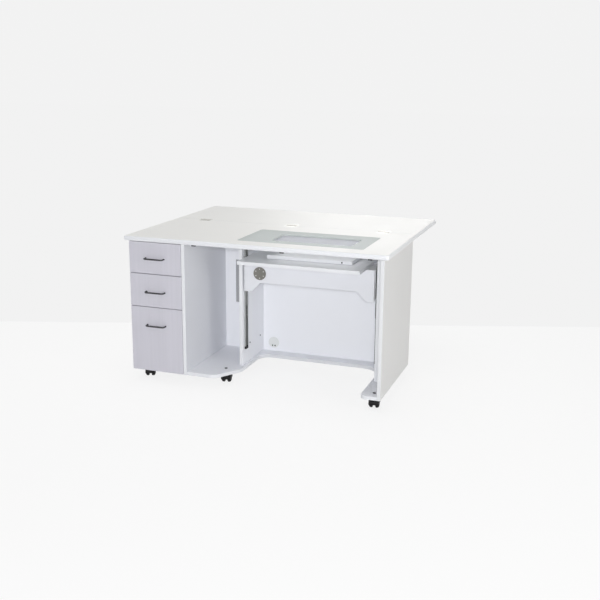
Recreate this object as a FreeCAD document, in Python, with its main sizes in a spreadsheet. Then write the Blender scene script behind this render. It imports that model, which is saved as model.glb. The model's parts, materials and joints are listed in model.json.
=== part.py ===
# Folding sewing and cutting table on casters: a drawer column, an open niche, a knee space with a
# machine lift under a well in the top, and a rear leaf that folds over onto the top.
# Frame: +Z up, +X to the user's right, the user stands on the -Y side. The origin is on the floor,
# under the middle of the open table. All sizes are in millimetres.
import FreeCAD
import Part
import Sketcher
import os
import re

doc = FreeCAD.newDocument("sewing_table")
sheet = doc.addObject("Spreadsheet::Sheet", "dims")

# Driving dimensions
sizes = {
    # Tops
    "table_width": 1400,
    "table_height": 780,
    "top_thickness": 25,
    "fixed_depth": 612,
    "leaf_depth": 513,
    "leaf_gap": 1.5,
    "edge_round": 9,
    "corner_round": 14,
    # Cabinet boards
    "board": 18,
    "side_overhang": 20,
    "front_setback": 15,
    "rear_overhang": 2,
    "cabinet_floor": 60,
    "back_recess": 63,
    "drawer_bay": 282,
    "niche_width": 210,
    "right_cavity": 55,
    "lift_panel_front": 225,
    "right_panel_front": 2,
    "panel_gap": 1,
    # Curved floor board, measured back from the top's front edge
    "niche_floor_front": 20,
    "nose_inset": 52,
    "nose_reach": 18,
    "nose_depth": 170,
    "nose_round": 60,
    "knee_floor_front": 456,
    "knee_round_left": 65,
    "knee_round_right": 115,
    "foot_width": 87,
    "foot_round": 32,
    # Machine well and its insert
    "well_left": 24,
    "well_right": 39,
    "well_depth": 345,
    "well_front": 95,
    "well_round": 14,
    "insert_thick": 8,
    "insert_lip": 10,
    "insert_gap": 0.5,
    "opening_left": 161,
    "opening_right": 75,
    "opening_front": 70,
    "opening_rear": 85,
    "opening_round": 20,
    # Machine lift
    "lift_up": 70,
    "lift_down": 220,
    "lift_board_left": 23,
    "lift_board_right": 56,
    "lift_board_depth": 325,
    "lift_board_front": 103,
    "lift_board_drop": 109,
    "shelf_left": 119,
    "shelf_right": 72,
    "shelf_front": 112,
    "shelf_rear": 3,
    "shelf_thick": 18,
    "shelf_foot_height": 2,
    "shelf_foot_radius": 12,
    "shelf_foot_inset": 24,
    "shelf_screw_radius": 4,
    "shelf_screw_inset": 52,
    "shelf_screw_head": 1.5,
    "apron_setback": 5,
    "apron_left": 9.5,
    "apron_right": 15,
    "apron_drop": 166,
    "apron_arch": 50.5,
    "apron_leg": 41,
    "apron_slope": 47.5,
    "apron_round": 10,
    "cap_radius": 34,
    "cap_thick": 4,
    "cap_from_left": 87.5,
    "cap_below_top": 66,
    "cap_hole_radius": 3,
    "cap_hole_circle": 24,
    "cap_hole_depth": 2,
    # Upright slides of the lift
    "slide_behind_apron": 4,
    "slide_width": 30,
    "slide_depth": 9,
    "slide_wall": 1.5,
    "slide_above_floor": 97,
    "slide_top_gap": 10,
    "slide_end_room": 5,
    "rail_width": 14,
    "rail_proud": 4,
    "slide_play": 0.5,
    "cage_length": 330,
    "cage_depth": 4,
    "ball_radius": 2.7,
    "ball_pitch": 30,
    "bumper_height": 14,
    # Steel angles that carry the lift board on the rails
    "bracket_thick": 3,
    "bracket_depth": 66,
    "bracket_drop": 150,
    "bracket_under": 48,
    # Gas strut behind the right slide
    "strut_behind_bracket": 50,
    "strut_from_panel": 14,
    "strut_radius": 9.5,
    "strut_rod_radius": 5,
    "strut_above_floor": 25,
    "strut_room": 8,
    "strut_bottom_wall": 8,
    "strut_foot_height": 13,
    "strut_ear_width": 24,
    "fit_play": 0.05,
    # Drawers
    "drawer_top_gap": 4,
    "drawer_front_gap": 3,
    "drawer_left_gap": 4,
    "drawer_right_gap": 2,
    "top_front_height": 164,
    "middle_front_height": 173,
    "drawer_floor_lap": 2,
    "drawer_front_round": 1.5,
    "box_clear": 30,
    "box_rear_gap": 46,
    "box_wall": 12,
    "box_bottom": 6,
    "runner_room": 12.7,
    "runner_height": 45,
    "runner_wall": 2,
    "runner_play": 0.4,
    "runner_from_bottom": 20,
    # Handles
    "handle_span": 104,
    "handle_bar": 9,
    "handle_standoff": 26,
    "handle_bend": 14,
    "top_handle_drop": 83,
    "middle_handle_drop": 92,
    "bottom_handle_drop": 95,
    # Hinges of the leaf and the wings
    "hinge_length": 62,
    "hinge_end": 15,
    "hinge_gap": 1,
    "hinge_radius": 4,
    "hinge_pin_radius": 2,
    "hinge_lift": 0.3,
    "hinge_plate": 2.5,
    "hinge_reach": 32,
    "hinge_clear": 5,
    "hinge_notch": 5,
    "hinge_web": 6,
    "hinge_lap": 1,
    "leaf_hinge_inset": 150,
    # Wings that swing out to carry the leaf
    "wing_length": 440,
    "wing_bottom": 100,
    "wing_top_gap": 0.4,
    "wing_inset": 110,
    "wing_face": 6,
    "wing_hinge_inset": 90,
    # Cable grommet in the back panel
    "grommet_radius": 27,
    "grommet_flange": 4,
    "grommet_lip": 2.5,
    "grommet_depth": 9,
    "grommet_play": 0.4,
    "grommet_left": 62,
    "grommet_height": 127,
    "grommet_hole_radius": 4,
    "grommet_hole_spread": 15,
    "grommet_hole_drop": 18,
    # Small fittings
    "buffer_length": 20,
    "buffer_depth": 14,
    "buffer_height": 7,
    "buffer_front": 16,
    "buffer_niche": 51,
    "buffer_knee": 295,
    "buffer_right": 95,
    "strip_width": 24,
    "strip_thick": 3,
    "strip_out": 18,
    "strip_from_front": 3,
    "strip_drop": 104,
    "strip_height": 226,
    "strip_bolt_radius": 5,
    "strip_bolt_head": 5,
    "screw_radius": 4.5,
    "screw_head": 1.5,
    "screw_height": 177,
    "screw_front": 102,
    "screw_rear": 54,
    # Casters
    "caster_plate": 42,
    "caster_plate_thick": 3,
    "caster_stem_radius": 5,
    "caster_cap_radius": 8,
    "caster_cap_height": 3,
    "caster_trail": 14,
    "caster_boss_radius": 12,
    "caster_boss_height": 11,
    "caster_play": 0.5,
    "wheel_radius": 25,
    "wheel_width": 19,
    "wheel_gap": 13,
    "wheel_round": 6,
    "axle_radius": 3,
    "hood_gap": 1,
    "hood_wall": 2.3,
    "hood_skirt": 5,
    "caster_left": 81,
    "caster_niche": 166,
    "caster_right": 64,
    "caster_rear_right": 100,
    "caster_left_front": 95,
    "caster_niche_front": 146,
    "caster_right_front": 55,
    "caster_behind_back": 33,
    # How far each front caster is swivelled at rest, in degrees
    "caster_left_turn": 20,
    "caster_niche_turn": 12,
    "caster_right_turn": 6,
    # How far a cutting shape reaches past the face that it opens
    "overcut": 1,
}
for row, (name, size) in enumerate(sizes.items(), 1):
    sheet.set(f"A{row}", name)
    sheet.set(f"B{row}", str(size))
    sheet.setAlias(f"B{row}", name)
doc.recompute()

# Places worked out from the driving dimensions
places = {
    "left_edge": "-table_width / 2",
    "total_depth": "fixed_depth + 2 * leaf_gap + leaf_depth",
    "handle_reach": "handle_standoff + handle_bar / 2 - front_setback",
    "front_edge": "(max(handle_reach; 0) - total_depth) / 2",
    "top_under": "table_height - top_thickness",
    "top_rear": "front_edge + fixed_depth",
    "leaf_axis_y": "top_rear + leaf_gap",
    "leaf_axis_z": "table_height + hinge_lift",
    "leaf_front": "leaf_axis_y + leaf_gap",
    "bullnose": "min(edge_round; top_thickness / 2 - 1)",
    "cabinet_depth": "fixed_depth - rear_overhang",
    "cabinet_rear": "front_edge + cabinet_depth",
    "back_rear": "cabinet_rear - back_recess",
    "back_front": "back_rear - board",
    "drawer_face": "front_edge + front_setback",
    "front_rear": "drawer_face + board",
    "left_panel_x": "left_edge + side_overhang",
    "drawer_bay_x": "left_panel_x + board",
    "partition_x": "drawer_bay_x + drawer_bay",
    "niche_x": "partition_x + board",
    "divider_x": "niche_x + niche_width",
    "lift_bay_x": "divider_x + board",
    "right_panel_x": "table_width / 2 - side_overhang - board",
    "inner_panel_x": "right_panel_x - right_cavity - board",
    "floor_top": "cabinet_floor + board",
    "lift_panel_y": "front_edge + lift_panel_front",
    "well_x": "lift_bay_x + well_left",
    "well_y": "front_edge + well_front",
    "well_width": "inner_panel_x - well_right - well_x",
    "opening_width": "well_width - opening_left - opening_right",
    "opening_depth": "well_depth - opening_front - opening_rear",
    "lift_board_x": "lift_bay_x + lift_board_left",
    "lift_board_y": "front_edge + lift_board_front",
    "lift_board_end": "inner_panel_x - lift_board_right",
    "lift_board_top": "table_height - lift_board_drop",
    "lift_board_under": "lift_board_top - board",
    "shelf_x": "lift_board_x + shelf_left",
    "shelf_y": "lift_board_y + shelf_front",
    "shelf_width": "lift_board_end - shelf_right - shelf_x",
    "shelf_depth": "lift_board_depth - shelf_front - shelf_rear",
    "shelf_under": "lift_board_top + shelf_foot_height",
    "apron_x": "lift_bay_x + apron_left",
    "apron_end": "inner_panel_x - apron_right",
    "apron_y": "lift_panel_y + apron_setback",
    "apron_rear": "apron_y + board",
    "slide_y": "apron_rear + slide_behind_apron",
    "slide_mid": "slide_y + slide_width / 2",
    "slide_z": "floor_top + slide_above_floor",
    "slide_length": "top_under - slide_top_gap - slide_z",
    "rail_length": "slide_length - lift_up - lift_down - 2 * slide_end_room",
    "rail_z": "slide_z + slide_end_room + lift_down",
    "rail_reach": "slide_depth + rail_proud",
    "cage_width": "(slide_width - rail_width) / 2 - slide_wall - 2 * slide_play",
    "cage_z": "slide_z + (slide_length - cage_length) / 2 + (lift_down - lift_up) / 4",
    "strut_x": "inner_panel_x - strut_from_panel",
    "strut_y": "bracket_rear + strut_behind_bracket",
    "strut_z": "floor_top + strut_above_floor",
    "strut_length": "flange_under - lift_down - strut_room - strut_z",
    "bracket_rear": "apron_rear + bracket_depth",
    "bracket_end": "lift_board_end - bracket_under",
    "flange_under": "lift_board_under - bracket_thick",
    "drawer_x": "left_panel_x + drawer_left_gap",
    "drawer_width": "partition_x - drawer_right_gap - drawer_x",
    "box_x": "drawer_bay_x + runner_room",
    "box_width": "drawer_bay - 2 * runner_room",
    "box_depth": "back_front - front_rear - box_rear_gap",
    "top_front_z": "top_under - drawer_top_gap - top_front_height",
    "middle_front_z": "top_front_z - drawer_front_gap - middle_front_height",
    "bottom_front_z": "cabinet_floor + drawer_floor_lap",
    "bottom_front_height": "middle_front_z - drawer_front_gap - bottom_front_z",
    "hinge_middle": "hinge_length - 2 * hinge_end - 2 * hinge_gap",
    "wing_axis_x": "drawer_bay_x + wing_inset",
    "wing_axis_y": "back_rear + wing_face",
    "wing_x": "wing_axis_x - wing_face - board",
    "wing_y": "wing_axis_y + hinge_clear",
    "wing_height": "top_under - wing_top_gap - wing_bottom",
    "strip_z": "top_under - strip_drop - strip_height",
    "grommet_x": "lift_bay_x + grommet_left",
    "wheel_inner": "wheel_gap / 2",
    "wheel_outer": "wheel_gap / 2 + wheel_width",
    "hood_inner": "wheel_radius + hood_gap",
    "hood_outer": "hood_inner + hood_wall",
    "plate_under": "cabinet_floor - caster_plate_thick",
    "boss_top": "plate_under - caster_play",
}
along_x = FreeCAD.Rotation(FreeCAD.Vector(0, 1, 0), 90)
along_y = FreeCAD.Rotation(FreeCAD.Vector(1, 0, 0), -90)
along_z = FreeCAD.Rotation()
match_within = 0.05
subparts = []


# Formulas: each name becomes a cell of the sheet, or the formula of its place
def formula(text):
    def cell(match):
        name = match.group()
        if name in places:
            return "(" + formula(places[name]) + ")"
        return "dims." + name if name in sizes else name
    return re.sub(r"[a-z_][a-z_0-9]*", cell, str(text))


def value(text):
    return float(sheet.evalExpression(formula(text)))


def bind(thing, **formulas):
    for prop, text in formulas.items():
        thing.setExpression(prop, formula(text))


def place(thing, x, y, z):
    for axis, text in zip("xyz", (x, y, z)):
        thing.setExpression("Placement.Base." + axis, formula(text))


def swivel(thing, degrees):
    thing.setExpression("Placement.Rotation.Angle", formula(degrees) + " * 1 deg")


def keep(thing, label):
    thing.Label = label
    subparts.append(thing)
    return thing


# Part primitives and booleans
def box(name, x, y, z, length, width, height):
    block = doc.addObject("Part::Box", name)
    bind(block, Length=length, Width=width, Height=height)
    place(block, x, y, z)
    return block


def rod(name, x, y, z, radius, length, turn=along_z):
    round_bar = doc.addObject("Part::Cylinder", name)
    round_bar.Placement = FreeCAD.Placement(FreeCAD.Vector(), turn)
    bind(round_bar, Radius=radius, Height=length)
    place(round_bar, x, y, z)
    return round_bar


def fuse(name, members):
    joined = doc.addObject("Part::MultiFuse", name)
    joined.Shapes = members
    return joined


def cut(name, base, tools):
    carved = doc.addObject("Part::Cut", name)
    carved.Base = base
    carved.Tool = tools[0] if len(tools) == 1 else fuse(name + "_tools", tools)
    return carved


def group(name, members):
    together = doc.addObject("Part::Compound", name)
    together.Links = members
    return together


def mirror_x(name, source):
    other = doc.addObject("Part::Mirroring", name)
    other.Source = source
    other.Normal = FreeCAD.Vector(1, 0, 0)
    return other


# Bodies made from sketches
def new_body(name):
    return doc.addObject("PartDesign::Body", name)


def new_sketch(body, name, plane="XY_Plane", raised="0"):
    sketch = body.newObject("Sketcher::SketchObject", name)
    origin_plane = [f for f in body.Origin.OriginFeatures if f.Role == plane][0]
    sketch.AttachmentSupport = [(origin_plane, "")]
    sketch.MapMode = "FlatFace"
    sketch.setExpression("AttachmentOffset.Base.z", formula(raised))
    return sketch


def pin_point(sketch, geometry, end, x, y):
    for kind, text in (("DistanceX", x), ("DistanceY", y)):
        index = sketch.addConstraint(Sketcher.Constraint(kind, -1, 1, geometry, end, value(text)))
        tag = f"{kind}_{geometry}_{end}"
        sketch.renameConstraint(index, tag)
        sketch.setExpression("Constraints." + tag, formula(text))


def polygon(sketch, corners):
    first = sketch.GeometryCount
    ends = [FreeCAD.Vector(value(x), value(y), 0) for x, y in corners]
    count = len(corners)
    for i in range(count):
        sketch.addGeometry(Part.LineSegment(ends[i], ends[(i + 1) % count]), False)
    for i in range(count):
        following = first + (i + 1) % count
        sketch.addConstraint(Sketcher.Constraint("Coincident", first + i, 2, following, 1))
        pin_point(sketch, first + i, 1, *corners[i])


def rectangle(sketch, x, y, length, width):
    far_x = f"{x} + {length}"
    far_y = f"{y} + {width}"
    polygon(sketch, [(x, y), (far_x, y), (far_x, far_y), (x, far_y)])


def pad(body, sketch, length):
    feature = body.newObject("PartDesign::Pad", sketch.Name + "_pad")
    feature.Profile = sketch
    bind(feature, Length=length)
    return feature


def pocket_up(body, sketch):
    before = body.Shape.Volume
    feature = body.newObject("PartDesign::Pocket", sketch.Name + "_pocket")
    feature.Profile = sketch
    feature.Type = "ThroughAll"
    feature.Reversed = True
    doc.recompute()
    if feature.Shape.Volume >= before:
        raise RuntimeError(sketch.Name + " cuts nothing")
    return feature


def round_edges(body, base, radius, chosen):
    doc.recompute()
    names = [f"Edge{i}" for i, edge in enumerate(base.Shape.Edges, 1) if chosen(edge)]
    feature = body.newObject("PartDesign::Fillet", base.Name + "_round")
    feature.Base = (base, names)
    bind(feature, Radius=radius)
    doc.recompute()
    return feature


def near(a, b):
    return abs(a - b) < match_within


def upright_at(corners):
    spots = [(value(x), value(y)) for x, y in corners]

    def chosen(edge):
        extent = edge.BoundBox
        middle = edge.CenterOfMass
        upright = near(extent.XLength, 0) and near(extent.YLength, 0)
        return upright and any(near(middle.x, x) and near(middle.y, y) for x, y in spots)
    return chosen


# Tops
def rim_edges(width, depth, thickness, open_y):
    # Edges of the top and bottom faces that lie on the outer rim, leaving the hinge side square
    def chosen(edge):
        extent = edge.BoundBox
        on_face = near(extent.ZMin, 0) or near(extent.ZMin, thickness)
        on_side = near(extent.XMin, 0) or near(extent.XMax, width)
        on_end = near(extent.YMin, 0) or near(extent.YMax, depth)
        hinge_side = near(extent.YMin, open_y) and near(extent.YMax, open_y)
        return near(extent.ZLength, 0) and on_face and (on_side or on_end) and not hinge_side
    return chosen


def hinge_starts():
    inset = "leaf_hinge_inset"
    return [inset, "(table_width - hinge_length) / 2", f"table_width - {inset} - hinge_length"]


def make_top(name, depth, hinge_at_rear):
    body = new_body(name)
    outline = new_sketch(body, name + "_outline")
    rectangle(outline, "0", "0", "table_width", depth)
    slab = pad(body, outline, "top_thickness")
    free_y = "0" if hinge_at_rear else depth
    corners = upright_at([("0", free_y), ("table_width", free_y)])
    slab = round_edges(body, slab, "corner_round", corners)
    open_y = value(depth) if hinge_at_rear else 0
    rim = rim_edges(value("table_width"), value(depth), value("top_thickness"), open_y)
    round_edges(body, slab, "bullnose", rim)
    # A shallow recess for each hinge plate and a deeper notch under its knuckles
    seats = {"recess": ("hinge_plate", "hinge_reach"), "notch": ("hinge_notch", "hinge_clear")}
    for what, (deep, reach) in seats.items():
        seat = new_sketch(body, f"{name}_{what}", raised=f"top_thickness - {deep}")
        long = f"({reach} - leaf_gap)"
        from_y = f"{depth} - {long}" if hinge_at_rear else "0"
        for start in hinge_starts():
            rectangle(seat, start, from_y, "hinge_length", long)
        pocket_up(body, seat)
    return body


def make_worktop():
    body = make_top("worktop", "fixed_depth", True)
    well_from_left = "well_x - left_edge"
    rebate = new_sketch(body, "well_rebate", raised="top_thickness - insert_thick")
    rectangle(rebate, well_from_left, "well_front", "well_width", "well_depth")
    seat = pocket_up(body, rebate)
    far_x = f"{well_from_left} + well_width"
    far_y = "well_front + well_depth"
    rebate_corners = [(x, y) for x in (well_from_left, far_x) for y in ("well_front", far_y)]
    round_edges(body, seat, "well_round", upright_at(rebate_corners))
    well = new_sketch(body, "well_through")
    rectangle(well, f"{well_from_left} + insert_lip", "well_front + insert_lip",
              "well_width - 2 * insert_lip", "well_depth - 2 * insert_lip")
    pocket_up(body, well)
    place(body, "left_edge", "front_edge", "top_under")
    keep(body, "worktop")


def make_rear_leaf():
    body = make_top("rear_leaf", "leaf_depth", False)
    place(body, "left_edge", "leaf_front", "top_under")
    keep(body, "rear_leaf")


def make_well_insert():
    body = new_body("well_insert")
    sheet_outline = new_sketch(body, "insert_outline")
    width = "well_width - 2 * insert_gap"
    depth = "well_depth - 2 * insert_gap"
    rectangle(sheet_outline, "0", "0", width, depth)
    slab = pad(body, sheet_outline, "insert_thick")
    outer_corners = [(x, y) for x in ("0", width) for y in ("0", depth)]
    round_edges(body, slab, "well_round", upright_at(outer_corners))
    opening = new_sketch(body, "insert_opening")
    left = "opening_left - insert_gap"
    front = "opening_front - insert_gap"
    rectangle(opening, left, front, "opening_width", "opening_depth")
    carved = pocket_up(body, opening)
    right = f"{left} + opening_width"
    rear = f"{front} + opening_depth"
    opening_corners = [(x, y) for x in (left, right) for y in (front, rear)]
    round_edges(body, carved, "opening_round", upright_at(opening_corners))
    place(body, "well_x + insert_gap", "well_y + insert_gap", "table_height - insert_thick")
    keep(body, "well_insert")


# Cabinet boards
def make_cabinet_boards():
    height = "top_under - cabinet_floor"
    inner_height = "top_under - floor_top"
    front = "front_rear + panel_gap"
    keep(box("left_panel", "left_panel_x", front, "cabinet_floor",
             "board", f"cabinet_rear - ({front})", height), "left_panel")
    keep(box("partition", "partition_x", "drawer_face", "cabinet_floor",
             "board", "back_front - drawer_face", height), "partition")
    keep(box("divider", "divider_x", "lift_panel_y", "floor_top",
             "board", "back_front - lift_panel_y", inner_height), "divider")
    keep(box("inner_right_panel", "inner_panel_x", "lift_panel_y", "floor_top",
             "board", "back_front - lift_panel_y", inner_height), "inner_right_panel")
    keep(box("right_panel", "right_panel_x", "front_edge + right_panel_front", "cabinet_floor",
             "board", "cabinet_depth - right_panel_front", height), "right_panel")
    keep(box("drawer_floor", "drawer_bay_x", front, "cabinet_floor",
             "drawer_bay", f"cabinet_rear - ({front})", "board"), "drawer_floor")
    sheet_board = box("back_board", "drawer_bay_x", "back_front", "floor_top",
                      "right_panel_x - drawer_bay_x", "board", inner_height)
    hole = rod("back_hole", "grommet_x", "back_front - overcut", "grommet_height",
               "grommet_radius", "board + 2 * overcut", along_y)
    keep(cut("back_panel", sheet_board, [hole]), "back_panel")


def make_floor_panel():
    body = new_body("floor_panel")
    outline = new_sketch(body, "floor_outline")
    far_right = "right_panel_x - niche_x"
    nose_x = "divider_x - nose_inset - niche_x"
    knee_left = "lift_bay_x + nose_reach - niche_x"
    knee_right = f"{far_right} - foot_width"
    nose = (nose_x, "niche_floor_front")
    nose_end = (knee_left, "nose_depth")
    inner_left = (knee_left, "knee_floor_front")
    inner_right = (knee_right, "knee_floor_front")
    foot = (knee_right, "right_panel_front")
    polygon(outline, [("0", "niche_floor_front"), nose, nose_end, inner_left, inner_right, foot,
                      (far_right, "right_panel_front"), (far_right, "cabinet_depth"), ("0", "cabinet_depth")])
    feature = pad(body, outline, "board")
    for radius, corners in (("nose_round", [nose, nose_end]), ("knee_round_left", [inner_left]),
                            ("knee_round_right", [inner_right]), ("foot_round", [foot])):
        feature = round_edges(body, feature, radius, upright_at(corners))
    place(body, "niche_x", "front_edge", "cabinet_floor")
    keep(body, "floor_panel")


def make_back_grommet():
    wide = "grommet_radius + grommet_flange"
    flange = rod("grommet_flange_disc", "grommet_x", "back_front - grommet_lip", "grommet_height",
                 wide, "grommet_lip", along_y)
    plug = rod("grommet_plug", "grommet_x", "back_front", "grommet_height",
               "grommet_radius - grommet_play", "grommet_depth", along_y)
    holes = [rod(f"grommet_hole_{side}", f"grommet_x + {sign} * grommet_hole_spread / 2",
                 "back_front - grommet_lip - overcut", "grommet_height - grommet_hole_drop",
                 "grommet_hole_radius", "grommet_lip + overcut", along_y)
             for side, sign in (("left", -1), ("right", 1))]
    keep(cut("back_grommet", fuse("grommet_body", [flange, plug]), holes), "back_grommet")


# Machine lift: the left slide stands on the divider, the right one on the inner right panel
def slide_slab(name, side, near_depth, far_depth, y, width, z, height):
    x = f"lift_bay_x + {near_depth}" if side == "left" else f"inner_panel_x - ({far_depth})"
    return box(name, x, y, z, f"({far_depth}) - ({near_depth})", width, height)


def make_lift_slides():
    channels = []
    rails = []
    cages = []
    middles = {"left": "lift_bay_x + slide_depth / 2", "right": "inner_panel_x - slide_depth / 2"}
    for side, cage_x in middles.items():
        block = slide_slab(f"{side}_channel_block", side, "0", "slide_depth",
                           "slide_y", "slide_width", "slide_z", "slide_length")
        hollow = slide_slab(f"{side}_channel_hollow", side, "slide_wall", "slide_depth + overcut",
                            "slide_y + slide_wall", "slide_width - 2 * slide_wall",
                            "slide_z - overcut", "slide_length + 2 * overcut")
        channels.append(cut(f"{side}_channel", block, [hollow]))
        rails.append(slide_slab(f"{side}_rail", side, "slide_wall + slide_play", "rail_reach",
                                "slide_mid - rail_width / 2", "rail_width", "rail_z", "rail_length"))
        for row, lane in (("front", "slide_y + slide_wall + slide_play"),
                          ("rear", "slide_mid + rail_width / 2 + slide_play")):
            cages.append(make_ball_cage(f"{side}_{row}_cage", cage_x, f"{lane} + cage_width / 2"))
    keep(group("lift_channels", channels), "lift_channels")
    keep(group("lift_rails", rails), "lift_rails")
    keep(group("ball_cages", cages), "ball_cages")


def make_ball_cage(name, x, y):
    body = new_body(name)
    strip = new_sketch(body, name + "_strip")
    rectangle(strip, "-cage_depth / 2", "-cage_width / 4", "cage_depth", "cage_width / 2")
    pad(body, strip, "cage_length")
    ball = body.newObject("PartDesign::AdditiveSphere", name + "_ball")
    ball.AttachmentSupport = [(strip.AttachmentSupport[0][0], "")]
    ball.MapMode = "FlatFace"
    bind(ball, Radius="min(ball_radius; cage_width / 2)")
    ball.setExpression("AttachmentOffset.Base.z", formula("ball_pitch / 2"))
    doc.recompute()
    row = body.newObject("PartDesign::LinearPattern", name + "_balls")
    row.Originals = [ball]
    row.Direction = (strip, ["N_Axis"])
    count = int(value("cage_length / ball_pitch"))
    row.Occurrences = count
    bind(row, Length=f"ball_pitch * {count - 1}")
    body.Tip = row
    place(body, x, y, "cage_z")
    return body


def make_lift_brackets():
    # Two angles behind the apron, each screwed to a rail. The right one has an ear over the strut
    leg_z = "lift_board_under - bracket_drop"
    left_face = "lift_bay_x + rail_reach"
    right_face = "inner_panel_x - rail_reach"
    left_leg = box("left_bracket_leg", left_face, "apron_rear", leg_z,
                   "bracket_thick", "bracket_depth", "bracket_drop")
    left_flange = box("left_bracket_flange", left_face, "apron_rear", "flange_under",
                      f"lift_board_x + bracket_under - ({left_face})", "bracket_depth", "bracket_thick")
    right_leg = box("right_bracket_leg", f"{right_face} - bracket_thick", "apron_rear", leg_z,
                    "bracket_thick", "bracket_depth", "bracket_drop")
    right_flange = box("right_bracket_flange", "bracket_end", "apron_rear", "flange_under",
                       f"{right_face} - bracket_end", "bracket_depth", "bracket_thick")
    ear = box("right_bracket_ear", "bracket_end", "bracket_rear", "flange_under",
              "strut_x + strut_ear_width / 2 - bracket_end", "strut_behind_bracket + strut_ear_width / 2",
              "bracket_thick")
    keep(group("lift_brackets", [fuse("left_bracket", [left_leg, left_flange]),
                                 fuse("right_bracket", [right_leg, right_flange, ear])]), "lift_brackets")


def make_strut():
    tube = rod("strut_tube", "strut_x", "strut_y", "strut_z", "strut_radius", "strut_length")
    bore = rod("strut_bore", "strut_x", "strut_y", "strut_z + strut_bottom_wall",
               "strut_rod_radius + fit_play", "strut_length")
    foot = box("strut_foot", "strut_x - strut_radius", "strut_y - strut_ear_width / 2",
               "strut_z - strut_foot_height", "strut_radius + strut_from_panel", "strut_ear_width",
               "strut_foot_height")
    keep(group("strut_cylinder", [cut("strut_barrel", tube, [bore]), foot]), "strut_cylinder")
    rod_z = "strut_z + strut_bottom_wall + slide_end_room + lift_down"
    keep(rod("strut_rod", "strut_x", "strut_y", rod_z, "strut_rod_radius",
             f"flange_under - ({rod_z})"), "strut_rod")


def make_lift_platform():
    keep(box("lift_board", "lift_board_x", "lift_board_y", "lift_board_under",
             "lift_board_end - lift_board_x", "lift_board_depth", "board"), "lift_board")
    keep(box("machine_shelf", "shelf_x", "shelf_y", "shelf_under",
             "shelf_width", "shelf_depth", "shelf_thick"), "machine_shelf")
    foot_x = {"left": "shelf_x + shelf_foot_inset", "right": "shelf_x + shelf_width - shelf_foot_inset"}
    foot_y = {"front": "shelf_y + shelf_foot_inset", "rear": "shelf_y + shelf_depth - shelf_foot_inset"}
    feet = [rod(f"shelf_foot_{end}_{side}", x, y, "lift_board_top", "shelf_foot_radius", "shelf_foot_height")
            for side, x in foot_x.items() for end, y in foot_y.items()]
    keep(group("shelf_feet", feet), "shelf_feet")
    screw = rod("shelf_screw", "shelf_x + shelf_width - shelf_screw_inset", "shelf_y - shelf_screw_head",
                "shelf_under + shelf_thick / 2", "shelf_screw_radius", "shelf_screw_head", along_y)
    keep(screw, "shelf_screw")


def make_apron():
    body = new_body("apron")
    outline = new_sketch(body, "apron_outline", "XZ_Plane")
    width = "apron_end - apron_x"
    arch = "apron_arch - apron_drop"
    slope = "apron_leg + apron_slope"
    polygon(outline, [("0", "0"), ("0", "-apron_drop"), ("apron_leg", "-apron_drop"), (slope, arch),
                      (f"{width} - ({slope})", arch), (f"{width} - apron_leg", "-apron_drop"),
                      (width, "-apron_drop"), (width, "0")])
    slab = pad(body, outline, "board")
    far_end = value(width)
    round_edges(body, slab, "apron_round",
                lambda edge: near(edge.BoundBox.XLength, 0) and near(edge.BoundBox.ZLength, 0)
                and not near(edge.BoundBox.XMin, 0) and not near(edge.BoundBox.XMin, far_end))
    place(body, "apron_x", "apron_rear", "lift_board_under")
    keep(body, "apron")
    cap_x = "apron_x + cap_from_left"
    cap_z = "lift_board_under - cap_below_top"
    disc = rod("cap_disc", cap_x, "apron_y - cap_thick", cap_z, "cap_radius", "cap_thick", along_y)
    holes = [rod(f"cap_hole_{angle}", f"{cap_x} + cap_hole_circle * cos({angle} deg)",
                 "apron_y - cap_thick - overcut", f"{cap_z} + cap_hole_circle * sin({angle} deg)",
                 "cap_hole_radius", "cap_hole_depth + overcut", along_y)
             for angle in range(30, 360, 60)]
    keep(cut("apron_cap", disc, holes), "apron_cap")


# Drawers
def make_drawer(name, front_z, front_height, handle_drop):
    body = new_body(name + "_drawer_front")
    face = new_sketch(body, name + "_face", "XZ_Plane")
    rectangle(face, "0", "0", "drawer_width", front_height)
    slab = pad(body, face, "board")
    front_y = -value("board")
    round_edges(body, slab, "drawer_front_round",
                lambda edge: near(edge.BoundBox.YMax, front_y) and near(edge.BoundBox.YMin, front_y))
    place(body, "drawer_x", "front_rear", front_z)
    keep(body, name + "_drawer_front")
    make_drawer_box(name, f"{front_z} + box_clear", f"{front_height} - 2 * box_clear")
    make_handle(name, "drawer_x + drawer_width / 2", f"{front_z} + {front_height} - {handle_drop}")
    return make_runners(name, f"{front_z} + box_clear + runner_from_bottom")


def make_drawer_box(name, z, height):
    wall_z = f"{z} + box_bottom"
    wall_height = f"{height} - box_bottom"
    long = "box_depth - 2 * box_wall"
    far_x = "box_x + box_width - box_wall"
    far_y = "front_rear + box_depth - box_wall"
    boards = [
        box(name + "_box_bottom", "box_x", "front_rear", z, "box_width", "box_depth", "box_bottom"),
        box(name + "_box_front", "box_x", "front_rear", wall_z, "box_width", "box_wall", wall_height),
        box(name + "_box_back", "box_x", far_y, wall_z, "box_width", "box_wall", wall_height),
        box(name + "_box_left", "box_x", "front_rear + box_wall", wall_z, "box_wall", long, wall_height),
        box(name + "_box_right", far_x, "front_rear + box_wall", wall_z, "box_wall", long, wall_height),
    ]
    keep(group(name + "_drawer_box", boards), name + "_drawer_box")


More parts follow.
